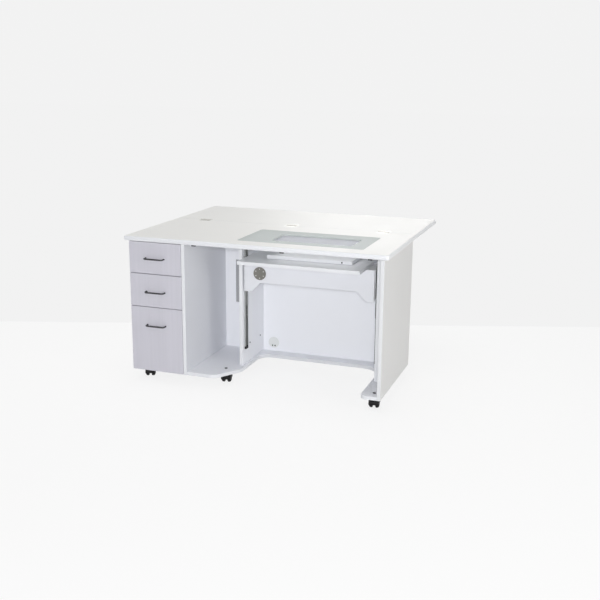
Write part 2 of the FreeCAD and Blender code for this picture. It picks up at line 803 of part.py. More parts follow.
def make_handle(name, x, z):
    # A round bar bent forward at both ends, swept along a route in the horizontal plane
    body = new_body(name + "_drawer_handle")
    route = new_sketch(body, name + "_route")
    bend = value("handle_bend")
    span = value("handle_span")
    front = -value("handle_standoff")
    diagonal = bend * (1 - 0.5 ** 0.5)
    corners = [(0, 0), (0, front + bend), (bend, front),
               (span - bend, front), (span, front + bend), (span, 0)]
    ends = [FreeCAD.Vector(x_at, y_at, 0) for x_at, y_at in corners]
    left_mid = FreeCAD.Vector(diagonal, front + diagonal, 0)
    right_mid = FreeCAD.Vector(span - diagonal, front + diagonal, 0)
    route.addGeometry([Part.LineSegment(ends[0], ends[1]), Part.Arc(ends[1], left_mid, ends[2]),
                       Part.LineSegment(ends[2], ends[3]), Part.Arc(ends[3], right_mid, ends[4]),
                       Part.LineSegment(ends[4], ends[5])], False)
    bend_y = "handle_bend - handle_standoff"
    pin_point(route, 0, 1, "0", "0")
    pin_point(route, 0, 2, "0", bend_y)
    pin_point(route, 2, 1, "handle_bend", "-handle_standoff")
    pin_point(route, 2, 2, "handle_span - handle_bend", "-handle_standoff")
    pin_point(route, 4, 1, "handle_span", bend_y)
    pin_point(route, 4, 2, "handle_span", "0")
    for line in range(4):
        route.addConstraint(Sketcher.Constraint("Coincident", line, 2, line + 1, 1))
    for arc, centre_x in ((1, "handle_bend"), (3, "handle_span - handle_bend")):
        index = route.addConstraint(Sketcher.Constraint("DistanceX", -1, 1, arc, 3, value(centre_x)))
        route.renameConstraint(index, f"centre_{arc}")
        route.setExpression(f"Constraints.centre_{arc}", formula(centre_x))
    ring = new_sketch(body, name + "_ring", "XZ_Plane")
    ring.addGeometry(Part.Circle(FreeCAD.Vector(), FreeCAD.Vector(0, 0, 1), value("handle_bar / 2")), False)
    ring.addConstraint(Sketcher.Constraint("Coincident", 0, 3, -1, 1))
    index = ring.addConstraint(Sketcher.Constraint("Radius", 0, value("handle_bar / 2")))
    ring.renameConstraint(index, "bar_radius")
    ring.setExpression("Constraints.bar_radius", formula("handle_bar / 2"))
    bar = body.newObject("PartDesign::AdditivePipe", name + "_bar")
    bar.Profile = ring
    bar.Spine = route
    place(body, f"{x} - handle_span / 2", "drawer_face", z)
    keep(body, name + "_drawer_handle")


def make_runners(name, z):
    # Returns the two fixed channels and keeps the two rails that ride in them with the drawer
    channels = []
    rails = []
    inner_height = "runner_height - 2 * runner_wall"
    for side in ("left", "right"):
        on_left = side == "left"
        block_x = "drawer_bay_x" if on_left else "partition_x - runner_room + runner_play"
        hollow_x = "drawer_bay_x + runner_wall" if on_left else "partition_x - runner_room"
        rail_x = "drawer_bay_x + runner_wall + runner_play" if on_left else "partition_x - runner_room"
        block = box(f"{name}_{side}_runner_block", block_x, "front_rear + panel_gap", z,
                    "runner_room - runner_play", "box_depth - panel_gap", "runner_height")
        hollow = box(f"{name}_{side}_runner_hollow", hollow_x, "front_rear", f"{z} + runner_wall",
                     "runner_room - runner_wall", "box_depth + overcut", inner_height)
        channels.append(cut(f"{name}_{side}_runner", block, [hollow]))
        rails.append(box(f"{name}_{side}_rail", rail_x, "front_rear", f"{z} + runner_wall + runner_play",
                         "runner_room - runner_wall - runner_play", "box_depth",
                         f"{inner_height} - 2 * runner_play"))
    keep(group(name + "_drawer_rails", rails), name + "_drawer_rails")
    return channels


# Hinges: a knuckle at each end belongs to the fixed half and the middle one to the moving half
def knuckle_spans():
    middle = "hinge_end + hinge_gap"
    fixed = [("0", "hinge_end"), ("hinge_length - hinge_end", "hinge_end")]
    return fixed, [(middle, "hinge_middle")]


def leaf_hinge_half(name, start, spans, forward):
    # The axis runs along X, just above the top's surface, and the plates lie flush in the two boards
    plate_z = "table_height - hinge_plate"
    plate_y = "leaf_axis_y + hinge_clear" if forward else "leaf_axis_y - hinge_reach"
    web_y = "leaf_axis_y" if forward else "leaf_axis_y - hinge_clear"
    pieces = [box(name + "_plate", start, plate_y, plate_z,
                  "hinge_length", "hinge_reach - hinge_clear", "hinge_plate")]
    for i, (offset, long) in enumerate(spans):
        x = f"{start} + {offset}"
        pieces.append(box(f"{name}_web_{i}", x, web_y, plate_z, long, "hinge_clear", "hinge_plate"))
        pieces.append(rod(f"{name}_knuckle_{i}", x, "leaf_axis_y", "leaf_axis_z",
                          "hinge_radius", long, along_x))
    bore = rod(name + "_bore", f"{start} - overcut", "leaf_axis_y", "leaf_axis_z",
               "hinge_pin_radius + fit_play", "hinge_length + 2 * overcut", along_x)
    return cut(name, fuse(name + "_solid", pieces), [bore])


def make_leaf_hinges():
    fixed_spans, moving_spans = knuckle_spans()
    plates = []
    flaps = []
    pins = []
    for i, from_left in enumerate(hinge_starts()):
        start = f"left_edge + {from_left}"
        plates.append(leaf_hinge_half(f"leaf_plate_{i}", start, fixed_spans, False))
        flaps.append(leaf_hinge_half(f"leaf_flap_{i}", start, moving_spans, True))
        pins.append(rod(f"leaf_pin_{i}", start, "leaf_axis_y", "leaf_axis_z",
                        "hinge_pin_radius", "hinge_length", along_x))
    keep(group("leaf_hinge_flaps", flaps), "leaf_hinge_flaps")
    return plates, pins


def wing_hinge_half(name, z, spans, on_wing):
    # The axis is upright: one plate lies on the back panel, the other on the wing's inner face
    web_reach = "hinge_web / 2 + hinge_clear + hinge_lap"
    if on_wing:
        pieces = [box(name + "_plate", "wing_axis_x - wing_face", "wing_axis_y + hinge_clear", z,
                      "hinge_plate", "hinge_reach", "hinge_length")]
    else:
        pieces = [box(name + "_plate", "wing_axis_x + hinge_clear", "back_rear", z,
                      "hinge_reach", "hinge_plate", "hinge_length")]
    for i, (offset, long) in enumerate(spans):
        low = f"{z} + {offset}"
        if on_wing:
            web = box(f"{name}_web_{i}", "wing_axis_x - wing_face", "wing_axis_y - hinge_web / 2", low,
                      "wing_face", web_reach, long)
        else:
            web = box(f"{name}_web_{i}", "wing_axis_x - hinge_web / 2", "back_rear", low,
                      web_reach, "wing_face", long)
        knuckle = rod(f"{name}_knuckle_{i}", "wing_axis_x", "wing_axis_y", low, "hinge_radius", long)
        pieces.extend([web, knuckle])
    bore = rod(name + "_bore", "wing_axis_x", "wing_axis_y", f"{z} - overcut",
               "hinge_pin_radius + fit_play", "hinge_length + 2 * overcut")
    return cut(name, fuse(name + "_solid", pieces), [bore])


def make_wings():
    # The right wing, its hinges and their fixed halves mirror the left ones
    fixed_spans, moving_spans = knuckle_spans()
    wing = box("left_wing", "wing_x", "wing_y", "wing_bottom", "board", "wing_length", "wing_height")
    keep(wing, "left_wing")
    keep(mirror_x("right_wing", wing), "right_wing")
    plates = []
    flaps = []
    pins = []
    wing_top = "wing_bottom + wing_height"
    heights = ["wing_bottom + wing_hinge_inset", f"{wing_top} - wing_hinge_inset - hinge_length"]
    for i, z in enumerate(heights):
        plates.append(wing_hinge_half(f"wing_plate_{i}", z, fixed_spans, False))
        flaps.append(wing_hinge_half(f"wing_flap_{i}", z, moving_spans, True))
        pins.append(rod(f"wing_pin_{i}", "wing_axis_x", "wing_axis_y", z, "hinge_pin_radius", "hinge_length"))
    left_flaps = group("left_wing_hinges", flaps)
    keep(left_flaps, "left_wing_hinges")
    keep(mirror_x("right_wing_hinges", left_flaps), "right_wing_hinges")
    plates += [mirror_x(plate.Name + "_right", plate) for plate in plates]
    pins += [mirror_x(pin.Name + "_right", pin) for pin in pins]
    return plates, pins


# Small fittings
def make_buffers():
    spots = {"niche": "niche_x + buffer_niche", "knee": "lift_bay_x + buffer_knee",
             "right": "table_width / 2 - buffer_right"}
    blocks = [box(f"edge_block_{spot}", f"{x} - buffer_length / 2", "front_edge + buffer_front",
                  "top_under - buffer_height", "buffer_length", "buffer_depth", "buffer_height")
              for spot, x in spots.items()]
    stops = [slide_slab(f"{side}_stop", side, "0", "slide_depth", "slide_y", "slide_width",
                        "slide_z - bumper_height", "bumper_height") for side in ("left", "right")]
    keep(group("rubber_buffers", blocks + stops), "rubber_buffers")


def make_niche_strip():
    # An angle of sheet steel screwed to the niche side of the divider
    y = "lift_panel_y + strip_from_front"
    flat = box("strip_flat", "divider_x - strip_thick", y, "strip_z",
               "strip_thick", "strip_width", "strip_height")
    lip = box("strip_lip", "divider_x - strip_out", y, "strip_z",
              "strip_out", "strip_thick", "strip_height")
    keep(fuse("niche_bracket", [flat, lip]), "niche_bracket")


def make_cabinet_screws():
    bolt_x = "divider_x - strip_thick - strip_bolt_head"
    bolt_y = "lift_panel_y + strip_from_front + (strip_width + strip_thick) / 2"
    heads = [rod(f"strip_bolt_{quarter}", bolt_x, bolt_y, f"strip_z + strip_height * {quarter} / 4",
                 "strip_bolt_radius", "strip_bolt_head", along_x)
             for quarter in (1, 2, 3)]
    screw_x = {"left": "lift_bay_x", "right": "inner_panel_x - screw_head"}
    screw_y = {"front": "lift_panel_y + screw_front", "rear": "back_front - screw_rear"}
    screws = [rod(f"panel_screw_{end}_{side}", x, y, "screw_height", "screw_radius", "screw_head", along_x)
              for side, x in screw_x.items() for end, y in screw_y.items()]
    keep(group("cabinet_screws", heads + screws), "cabinet_screws")


# Casters
def make_caster(name, x, y, turn):
    make_caster_hood(name, x, y, turn)
    make_caster_wheels(name, x, y, turn)
    plate = box(f"{name}_plate", f"{x} - caster_plate / 2", f"{y} - caster_plate / 2", "plate_under",
                "caster_plate", "caster_plate", "caster_plate_thick")
    stem = rod(f"{name}_stem", x, y, "boss_top - caster_boss_height", "caster_stem_radius",
               "caster_boss_height + caster_play + caster_plate_thick / 2")
    cap = rod(f"{name}_cap", x, y, "floor_top", "caster_cap_radius", "caster_cap_height")
    return [fuse(f"{name}_mount", [plate, stem]), cap]


def make_caster_hood(name, x, y, turn):
    # Modelled about its stem, then swivelled and set in place
    long = "2 * wheel_outer"
    trail = "caster_trail"
    drum = rod(f"{name}_drum", "-wheel_outer", trail, "wheel_radius", "hood_outer", long, along_x)
    boss = rod(f"{name}_boss", "0", "0", "boss_top - caster_boss_height",
               "caster_boss_radius", "caster_boss_height")
    room_x = {"left": "-wheel_outer - overcut", "right": "wheel_inner - caster_play"}
    rooms = [rod(f"{name}_room_{side}", at, trail, "wheel_radius", "hood_inner",
                 "wheel_width + caster_play + overcut", along_x)
             for side, at in room_x.items()]
    below = box(f"{name}_below", "-wheel_outer - overcut", f"{trail} - hood_outer - overcut",
                "-hood_outer", f"{long} + 2 * overcut", "2 * (hood_outer + overcut)",
                "wheel_radius - hood_skirt + hood_outer")
    axle_bore = rod(f"{name}_axle_bore", "-wheel_gap", trail, "wheel_radius",
                    "axle_radius + fit_play", "2 * wheel_gap", along_x)
    stem_bore = rod(f"{name}_stem_bore", "0", "0", "boss_top - caster_boss_height - overcut",
                    "caster_stem_radius + fit_play", "caster_boss_height + 2 * overcut")
    shell = cut(f"caster_hood_{name}", fuse(f"{name}_hood_solid", [drum, boss]),
                rooms + [below, axle_bore, stem_bore])
    place(shell, x, y, "0")
    swivel(shell, turn)
    keep(shell, f"caster_hood_{name}")


def make_caster_wheels(name, x, y, turn):
    # Both wheels and their axle, turned as one
    body = new_body(f"caster_wheels_{name}")
    half = new_sketch(body, f"{name}_half_section")
    right = [("wheel_inner", "axle_radius"), ("wheel_inner", "wheel_radius"),
             ("wheel_outer", "wheel_radius"), ("wheel_outer", "0")]
    left = [(f"-({across})", up) for across, up in reversed(right)]
    polygon(half, left + right)
    turned = body.newObject("PartDesign::Revolution", f"{name}_turned")
    turned.Profile = half
    turned.ReferenceAxis = (half, ["H_Axis"])
    turned.Angle = 360
    tread = value("wheel_radius")
    round_edges(body, turned, "wheel_round",
                lambda edge: isinstance(edge.Curve, Part.Circle) and near(edge.Curve.Radius, tread))
    place(body, f"{x} - caster_trail * sin({turn} * 1 deg)",
          f"{y} + caster_trail * cos({turn} * 1 deg)", "wheel_radius")
    swivel(body, turn)
    keep(body, f"caster_wheels_{name}")


def make_casters():
    left = "left_edge + caster_left"
    middle = "niche_x + caster_niche"
    rear = "back_rear + caster_behind_back"
    spots = {
        "front_left": (left, "front_edge + caster_left_front", "caster_left_turn"),
        "niche": (middle, "front_edge + caster_niche_front", "caster_niche_turn"),
        "right": ("table_width / 2 - caster_right", "front_edge + caster_right_front", "caster_right_turn"),
        "rear_left": (left, rear, "0"),
        "rear_middle": (middle, rear, "0"),
        "rear_right": ("table_width / 2 - caster_rear_right", rear, "0"),
    }
    mounts = []
    for name, (x, y, turn) in spots.items():
        mounts += make_caster(name, x, y, turn)
    keep(group("caster_mounts", mounts), "caster_mounts")


def make_drawers():
    channels = []
    for name in ("top", "middle", "bottom"):
        channels += make_drawer(name, f"{name}_front_z", f"{name}_front_height", f"{name}_handle_drop")
    keep(group("drawer_runners", channels), "drawer_runners")


def make_hinges():
    leaf_plates, leaf_pins = make_leaf_hinges()
    wing_plates, wing_pins = make_wings()
    keep(group("hinge_plates", leaf_plates + wing_plates), "hinge_plates")
    keep(group("hinge_pins", leaf_pins + wing_pins), "hinge_pins")


def check_and_write():
    doc.recompute()
    for thing in doc.Objects:
        if "Invalid" in thing.State or "Error" in thing.State:
            raise RuntimeError(f"{thing.Label} failed: {thing.State}")
    for piece in subparts:
        if piece.Shape.isNull() or not piece.Shape.isValid() or not piece.Shape.Solids:
            raise RuntimeError(f"{piece.Label} has no valid solid")
    os.makedirs("parts", exist_ok=True)
    for piece in subparts:
        piece.Shape.exportStep(f"parts/{piece.Label}.step")
    print(len(subparts), "sub-parts written")


make_worktop()
make_rear_leaf()
make_well_insert()
make_cabinet_boards()
make_floor_panel()
make_back_grommet()
make_lift_slides()
make_lift_brackets()
make_strut()
make_lift_platform()
make_apron()
make_drawers()
make_hinges()
make_buffers()
make_niche_strip()
make_cabinet_screws()
make_casters()
check_and_write()
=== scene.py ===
import bpy
import bmesh
import json
import math
from mathutils import Matrix, Vector


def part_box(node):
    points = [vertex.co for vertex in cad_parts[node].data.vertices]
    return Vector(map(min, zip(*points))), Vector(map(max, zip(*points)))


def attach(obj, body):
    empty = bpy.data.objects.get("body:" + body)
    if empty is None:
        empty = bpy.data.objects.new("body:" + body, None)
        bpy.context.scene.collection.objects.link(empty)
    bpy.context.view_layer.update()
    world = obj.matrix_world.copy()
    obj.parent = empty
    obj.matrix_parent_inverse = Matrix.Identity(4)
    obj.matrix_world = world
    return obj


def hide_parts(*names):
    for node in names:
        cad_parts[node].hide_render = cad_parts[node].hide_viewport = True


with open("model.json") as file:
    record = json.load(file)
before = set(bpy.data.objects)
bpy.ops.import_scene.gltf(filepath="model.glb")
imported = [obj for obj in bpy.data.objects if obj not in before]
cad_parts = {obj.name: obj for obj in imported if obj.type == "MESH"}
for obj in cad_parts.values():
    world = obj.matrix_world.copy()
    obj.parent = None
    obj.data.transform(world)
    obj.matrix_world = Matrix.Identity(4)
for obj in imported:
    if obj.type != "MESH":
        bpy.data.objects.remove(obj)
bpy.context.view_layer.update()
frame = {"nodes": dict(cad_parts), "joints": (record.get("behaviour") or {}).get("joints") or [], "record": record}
nodes = frame["nodes"]
bodies = frame["record"]["behaviour"]["bodies"]
bodyOf = {node: body for body, members in bodies.items() for node in members}
mm = 0.001
print("frame loaded with", len(nodes), "nodes")


# Camera at the photo's angle
cameraView = {"focal": 54.725, "sensor": 36.0, "place": (1.6795, -4.60925, 1.6226),
              "azimuth": 19.24, "elevation": 14.3, "roll": 0.55}


def makeCamera():
    azimuth = math.radians(cameraView["azimuth"])
    elevation = math.radians(cameraView["elevation"])
    back = Vector((math.sin(azimuth) * math.cos(elevation),
                   -math.cos(azimuth) * math.cos(elevation), math.sin(elevation)))
    right = Vector((0, 0, 1)).cross(back).normalized()
    turn = Matrix((right, back.cross(right), back)).transposed()
    turn = turn @ Matrix.Rotation(math.radians(cameraView["roll"]), 3, "Z")
    lens = bpy.data.cameras.new("tableCamera")
    lens.lens = cameraView["focal"]
    lens.sensor_width = cameraView["sensor"]
    camera = bpy.data.objects.new("tableCamera", lens)
    camera.matrix_world = Matrix.Translation(cameraView["place"]) @ turn.to_4x4()
    bpy.context.scene.collection.objects.link(camera)
    bpy.context.scene.camera = camera


makeCamera()
print("camera placed")


# Shader maths: a wire is one socket, and expressions on wires add Math nodes
class Wire:
    def __init__(self, tree, socket):
        self.tree = tree
        self.socket = socket

    def node(self, kind, settings, inputs, output=0):
        made = self.tree.nodes.new(kind)
        for key, value in settings.items():
            if key == "stops":
                for element, (position, colour) in zip(made.color_ramp.elements, value):
                    element.position = position
                    element.color = colour
            else:
                setattr(made, key, value)
        for key, value in inputs.items():
            if isinstance(value, Wire):
                self.tree.links.new(value.socket, made.inputs[key])
            else:
                made.inputs[key].default_value = value
        return Wire(self.tree, made.outputs[output])

    def maths(self, operation, first, second):
        return self.node("ShaderNodeMath", {"operation": operation}, {0: first, 1: second})

    def __add__(self, other):
        return self.maths("ADD", self, other)

    def __radd__(self, other):
        return self.maths("ADD", other, self)

    def __sub__(self, other):
        return self.maths("SUBTRACT", self, other)

    def __rsub__(self, other):
        return self.maths("SUBTRACT", other, self)

    def __mul__(self, other):
        return self.maths("MULTIPLY", self, other)

    def __rmul__(self, other):
        return self.maths("MULTIPLY", other, self)

    def __gt__(self, other):
        return self.maths("GREATER_THAN", self, other)


def newFinish(name, fixed):
    material = bpy.data.materials.new(name)
    material.use_nodes = True
    tree = material.node_tree
    shader = tree.nodes["Principled BSDF"]
    for socket, value in fixed.items():
        shader.inputs[socket].default_value = value
    coords = Wire(tree, tree.nodes.new("ShaderNodeTexCoord").outputs["Object"])
    return material, shader, coords


def connect(shader, wires):
    for socket, wire in wires.items():
        wire.tree.links.new(wire.socket, shader.inputs[socket])


def cloud(coords, scale, detail, stretch=None):
    if stretch:
        coords = coords.node("ShaderNodeMapping", {}, {"Vector": coords, "Scale": stretch})
    return coords.node("ShaderNodeTexNoise", {}, {"Vector": coords, "Scale": scale, "Detail": detail})


def shade(colour, factor=1.0):
    return (colour[0] * factor, colour[1] * factor, colour[2] * factor, 1.0)


# The Mix node's colour sockets go by number, because their names repeat
mixSockets = {"factor": 0, "low": 6, "high": 7, "result": 2}


def between(factor, low, high):
    inputs = {mixSockets["factor"]: factor, mixSockets["low"]: low, mixSockets["high"]: high}
    return factor.node("ShaderNodeMix", {"data_type": "RGBA"}, inputs, mixSockets["result"])


def relief(height, strength, distance):
    return height.node("ShaderNodeBump", {}, {"Strength": strength, "Distance": distance, "Height": height})


def contrast(value, low, high):
    stops = [(low, (0, 0, 0, 1)), (high, (1, 1, 1, 1))]
    return value.node("ShaderNodeValToRGB", {"stops": stops}, {"Fac": value})


# Melamine-faced board: fine pressed texture, a little mottling, faint wipe marks in the gloss. A pattern is
# its scale, its detail and, where it runs one way, its stretch
boardGrain = {"specular": 0.4, "mottle": (5.0, 4.0), "wipes": (9.0, 3.0, (1.0, 1.0, 0.25)),
              "press": (1400.0, 2.0), "depth": 0.05 * mm, "specks": (260.0, 1.0), "speckSpan": (0.74, 0.8),
              "speckShare": 0.25, "speckTone": 0.86, "polish": 0.05, "wipeRough": 0.1}


def boardFinish(name, look):
    grain = boardGrain
    colour = look["colour"]
    material, shader, coords = newFinish(name, {"Specular IOR Level": grain["specular"]})
    mottle = cloud(coords, *grain["mottle"])
    wiped = cloud(coords, *grain["wipes"])
    pressed = cloud(coords, *grain["press"])
    speck = contrast(cloud(coords, *grain["specks"]), *grain["speckSpan"])
    paper = between(mottle, shade(colour, look["dull"]), shade(colour))
    tone = between(speck * grain["speckShare"], paper, shade(colour, grain["speckTone"]))
    connect(shader, {"Base Color": tone,
                     "Roughness": look["rough"] - grain["polish"] + grain["wipeRough"] * wiped,
                     "Normal": relief(pressed, look["texture"], grain["depth"])})
    return material


# Plastic edge band: smoother than the faces, with the scraper's fine lines along it
bandGrain = {"specular": 0.5, "scrape": (60.0, 3.0, (1.0, 1.0, 0.1)), "scrapeTone": 0.97, "scrapeRough": 0.1,
             "scrapeRelief": (0.15, 0.05 * mm), "knocks": (45.0, 2.0), "knockSpan": (0.68, 0.76),
             "knockShare": 0.2, "knockTone": 0.8}


def bandFinish(name, look):
    grain = bandGrain
    colour = look["colour"]
    material, shader, coords = newFinish(name, {"Specular IOR Level": grain["specular"]})
    scraped = cloud(coords, *grain["scrape"])
    knocks = contrast(cloud(coords, *grain["knocks"]), *grain["knockSpan"])
    clean = between(scraped, shade(colour, grain["scrapeTone"]), shade(colour))
    tone = between(knocks * grain["knockShare"], clean, shade(colour, grain["knockTone"]))
    connect(shader, {"Base Color": tone,
                     "Roughness": look["rough"] + grain["scrapeRough"] * scraped,
                     "Normal": relief(scraped, *grain["scrapeRelief"])})
    return material


# Drawer laminate: pale lilac grey with an upright grain
laminateGrain = {"specular": 0.35, "streaks": (70.0, 5.0, (1.0, 1.0, 0.02)), "streakShare": 0.6,
                 "broad": (9.0, 3.0, (1.0, 1.0, 0.12)), "broadShare": 0.4, "figureSpan": (0.34, 0.66),
                 "highlight": 1.02, "pores": (520.0, 2.0, (1.0, 1.0, 0.03)), "poreSpan": (0.6, 0.72),
                 "poreShare": 0.25, "poreTone": 0.9, "poreDepth": 0.4, "streakRough": 0.12,
                 "relief": (0.25, 0.08 * mm)}


def laminateFinish(name, look):
    grain = laminateGrain
    colour = look["colour"]
    material, shader, coords = newFinish(name, {"Specular IOR Level": grain["specular"]})
    streaks = cloud(coords, *grain["streaks"])
    broad = cloud(coords, *grain["broad"])
    pores = contrast(cloud(coords, *grain["pores"]), *grain["poreSpan"])
    figure = contrast(streaks * grain["streakShare"] + broad * grain["broadShare"], *grain["figureSpan"])
    wood = between(figure, shade(colour, look["dull"]), shade(colour, grain["highlight"]))
    tone = between(pores * grain["poreShare"], wood, shade(colour, grain["poreTone"]))
    connect(shader, {"Base Color": tone,
                     "Roughness": look["rough"] + grain["streakRough"] * streaks,
                     "Normal": relief(streaks - grain["poreDepth"] * pores, *grain["relief"])})
    return material


# Metal: streaks along one direction, a fine grain and a few dull patches
metalGrain = {"detail": 4.0, "patches": (30.0, 4.0), "polish": 0.08, "brushRough": 0.16, "patchRough": 0.08,
              "depth": 0.04 * mm}


def metalFinish(name, look):
    grain = metalGrain
    material, shader, coords = newFinish(name, {"Metallic": look["metallic"]})
    brushed = cloud(coords, look["scale"], grain["detail"], look["stretch"])
    patches = cloud(coords, *grain["patches"])
    polished = look["rough"] - grain["polish"]
    tone = between(patches, shade(look["colour"], look["dull"]), shade(look["colour"]))
    connect(shader, {"Base Color": tone,
                     "Roughness": polished + grain["brushRough"] * brushed + grain["patchRough"] * patches,
                     "Normal": relief(brushed, look["texture"], grain["depth"])})
    return material


# Moulded plastic and rubber: a fine spark-eroded texture with dust lying in it
mouldedGrain = {"detail": 3.0, "pitTone": 0.9, "peakTone": 1.08, "depth": 0.1 * mm, "dust": (38.0, 5.0),
                "dustSpan": (0.45, 0.75), "dustRough": 0.12}


def mouldedFinish(name, look):
    grain = mouldedGrain
    material, shader, coords = newFinish(name, {"Specular IOR Level": look["gloss"]})
    spark = cloud(coords, look["scale"], grain["detail"])
    dust = contrast(cloud(coords, *grain["dust"]), *grain["dustSpan"])
    clean = between(spark, shade(look["colour"], grain["pitTone"]), shade(look["colour"], grain["peakTone"]))
    tone = between(dust * look["dusty"], clean, shade(look["dustColour"]))
    connect(shader, {"Base Color": tone,
                     "Roughness": look["rough"] + grain["dustRough"] * dust,
                     "Normal": relief(spark, look["texture"], grain["depth"])})
    return material


# Frosted sheet: see-through enough to show the lift below, with a fine haze
acrylicGrain = {"specular": 0.22, "ior": 1.49, "haze": (700.0, 2.0), "hazeRough": 0.06,
                "hazeRelief": (0.08, 0.03 * mm), "cloudy": (7.0, 3.0), "cloudyTone": 0.97, "cloudyBody": 0.06}


def acrylicFinish(name, look):
    grain = acrylicGrain
    colour = look["colour"]
    material, shader, coords = newFinish(name, {"Specular IOR Level": grain["specular"], "IOR": grain["ior"]})
    haze = cloud(coords, *grain["haze"])
    cloudy = cloud(coords, *grain["cloudy"])
    tone = between(cloudy, shade(colour, grain["cloudyTone"]), shade(colour))
    connect(shader, {"Base Color": tone,
                     "Roughness": look["rough"] + grain["hazeRough"] * haze,
                     "Alpha": look["body"] + grain["cloudyBody"] * cloudy,
                     "Normal": relief(haze, *grain["hazeRelief"])})
    return material


# The niche, apron and inner looks are darker, cooler copies of the white melamine: painted shade for the niche
# wall, the apron under the worktop and the inside boards
boardLooks = {
    "topBoard": {"colour": (0.87, 0.865, 0.845), "dull": 0.975, "rough": 0.46, "texture": 0.12},
    # Paler copy of the white melamine: painted light for the boards in the knee space and under the worktop
    "backLitBoard": {"colour": (0.93, 0.94, 0.98), "dull": 0.975, "rough": 0.42, "texture": 0.16},
    "nicheShadeBoard": {"colour": (0.76, 0.77, 0.81), "dull": 0.97, "rough": 0.42, "texture": 0.16},
    "outerBoard": {"colour": (0.83, 0.825, 0.815), "dull": 0.97, "rough": 0.4, "texture": 0.16},
    "innerShadeBoard": {"colour": (0.85, 0.86, 0.9), "dull": 0.97, "rough": 0.42, "texture": 0.16},
    "apronShadeBoard": {"colour": (0.755, 0.765, 0.805), "dull": 0.97, "rough": 0.42, "texture": 0.16},
    "drawerBoard": {"colour": (0.78, 0.78, 0.77), "dull": 0.95, "rough": 0.46, "texture": 0.2},
}
bandLooks = {
    "edgeBand": {"colour": (0.8, 0.81, 0.84), "rough": 0.3},
    # Darker copy of the edge band: painted shade on the right panel's edges
    "sideShadeBand": {"colour": (0.73, 0.74, 0.76), "rough": 0.32},
    # Paler copy of the edge band: painted light on the tops' short ends
    "endLitBand": {"colour": (0.93, 0.94, 0.96), "rough": 0.32},
}
laminateLook = {"colour": (0.61, 0.6, 0.66), "dull": 0.96, "rough": 0.42}
alongX = (0.05, 1.0, 1.0)
alongY = (1.0, 0.05, 1.0)
alongZ = (1.0, 1.0, 0.05)
metalLooks = {
    "handleMetal": {"colour": (0.09, 0.09, 0.095), "dull": 0.7, "metallic": 0.85, "rough": 0.34,
                    "scale": 900.0, "stretch": (1.0, 1.0, 1.0), "texture": 0.12},
    "slideSteel": {"colour": (0.42, 0.43, 0.43), "dull": 0.75, "metallic": 1.0, "rough": 0.42,
                   "scale": 260.0, "stretch": alongZ, "texture": 0.1},
    # Near-black steel: painted shade for the slides' hollows, the right slides' front and the screws' cross
    # recesses
    "paintedShadeSteel": {"colour": (0.045, 0.052, 0.05), "dull": 0.6, "metallic": 0.3, "rough": 0.36,
                     "scale": 260.0, "stretch": alongZ, "texture": 0.1},
    "stripSteel": {"colour": (0.31, 0.315, 0.335), "dull": 0.9, "metallic": 0.0, "rough": 0.4,
                   "scale": 380.0, "stretch": alongZ, "texture": 0.14},
    "runnerZinc": {"colour": (0.52, 0.53, 0.55), "dull": 0.8, "metallic": 1.0, "rough": 0.36,
                   "scale": 260.0, "stretch": alongY, "texture": 0.1},
    "ballSteel": {"colour": (0.6, 0.6, 0.6), "dull": 0.85, "metallic": 1.0, "rough": 0.24,
                  "scale": 300.0, "stretch": alongZ, "texture": 0.05},
    "hingeNickel": {"colour": (0.62, 0.61, 0.58), "dull": 0.85, "metallic": 1.0, "rough": 0.26,
                    "scale": 320.0, "stretch": alongX, "texture": 0.08},
    "rodChrome": {"colour": (0.72, 0.72, 0.73), "dull": 0.92, "metallic": 1.0, "rough": 0.14,
                  "scale": 420.0, "stretch": (1.0, 1.0, 4.0), "texture": 0.04},
    "strutPaint": {"colour": (0.025, 0.025, 0.027), "dull": 0.8, "metallic": 0.0, "rough": 0.26,
                   "scale": 500.0, "stretch": (1.0, 1.0, 1.0), "texture": 0.1},
    "plateSteel": {"colour": (0.2, 0.2, 0.21), "dull": 0.75, "metallic": 1.0, "rough": 0.42,
                   "scale": 240.0, "stretch": alongX, "texture": 0.1},
    "bracketWhite": {"colour": (0.78, 0.785, 0.79), "dull": 0.95, "metallic": 0.0, "rough": 0.36,
                     "scale": 380.0, "stretch": (1.0, 1.0, 1.0), "texture": 0.18},
    "screwZinc": {"colour": (0.5, 0.5, 0.49), "dull": 0.75, "metallic": 1.0, "rough": 0.34,
                  "scale": 700.0, "stretch": (1.0, 1.0, 1.0), "texture": 0.1},
}
houseDust = (0.3, 0.29, 0.28)
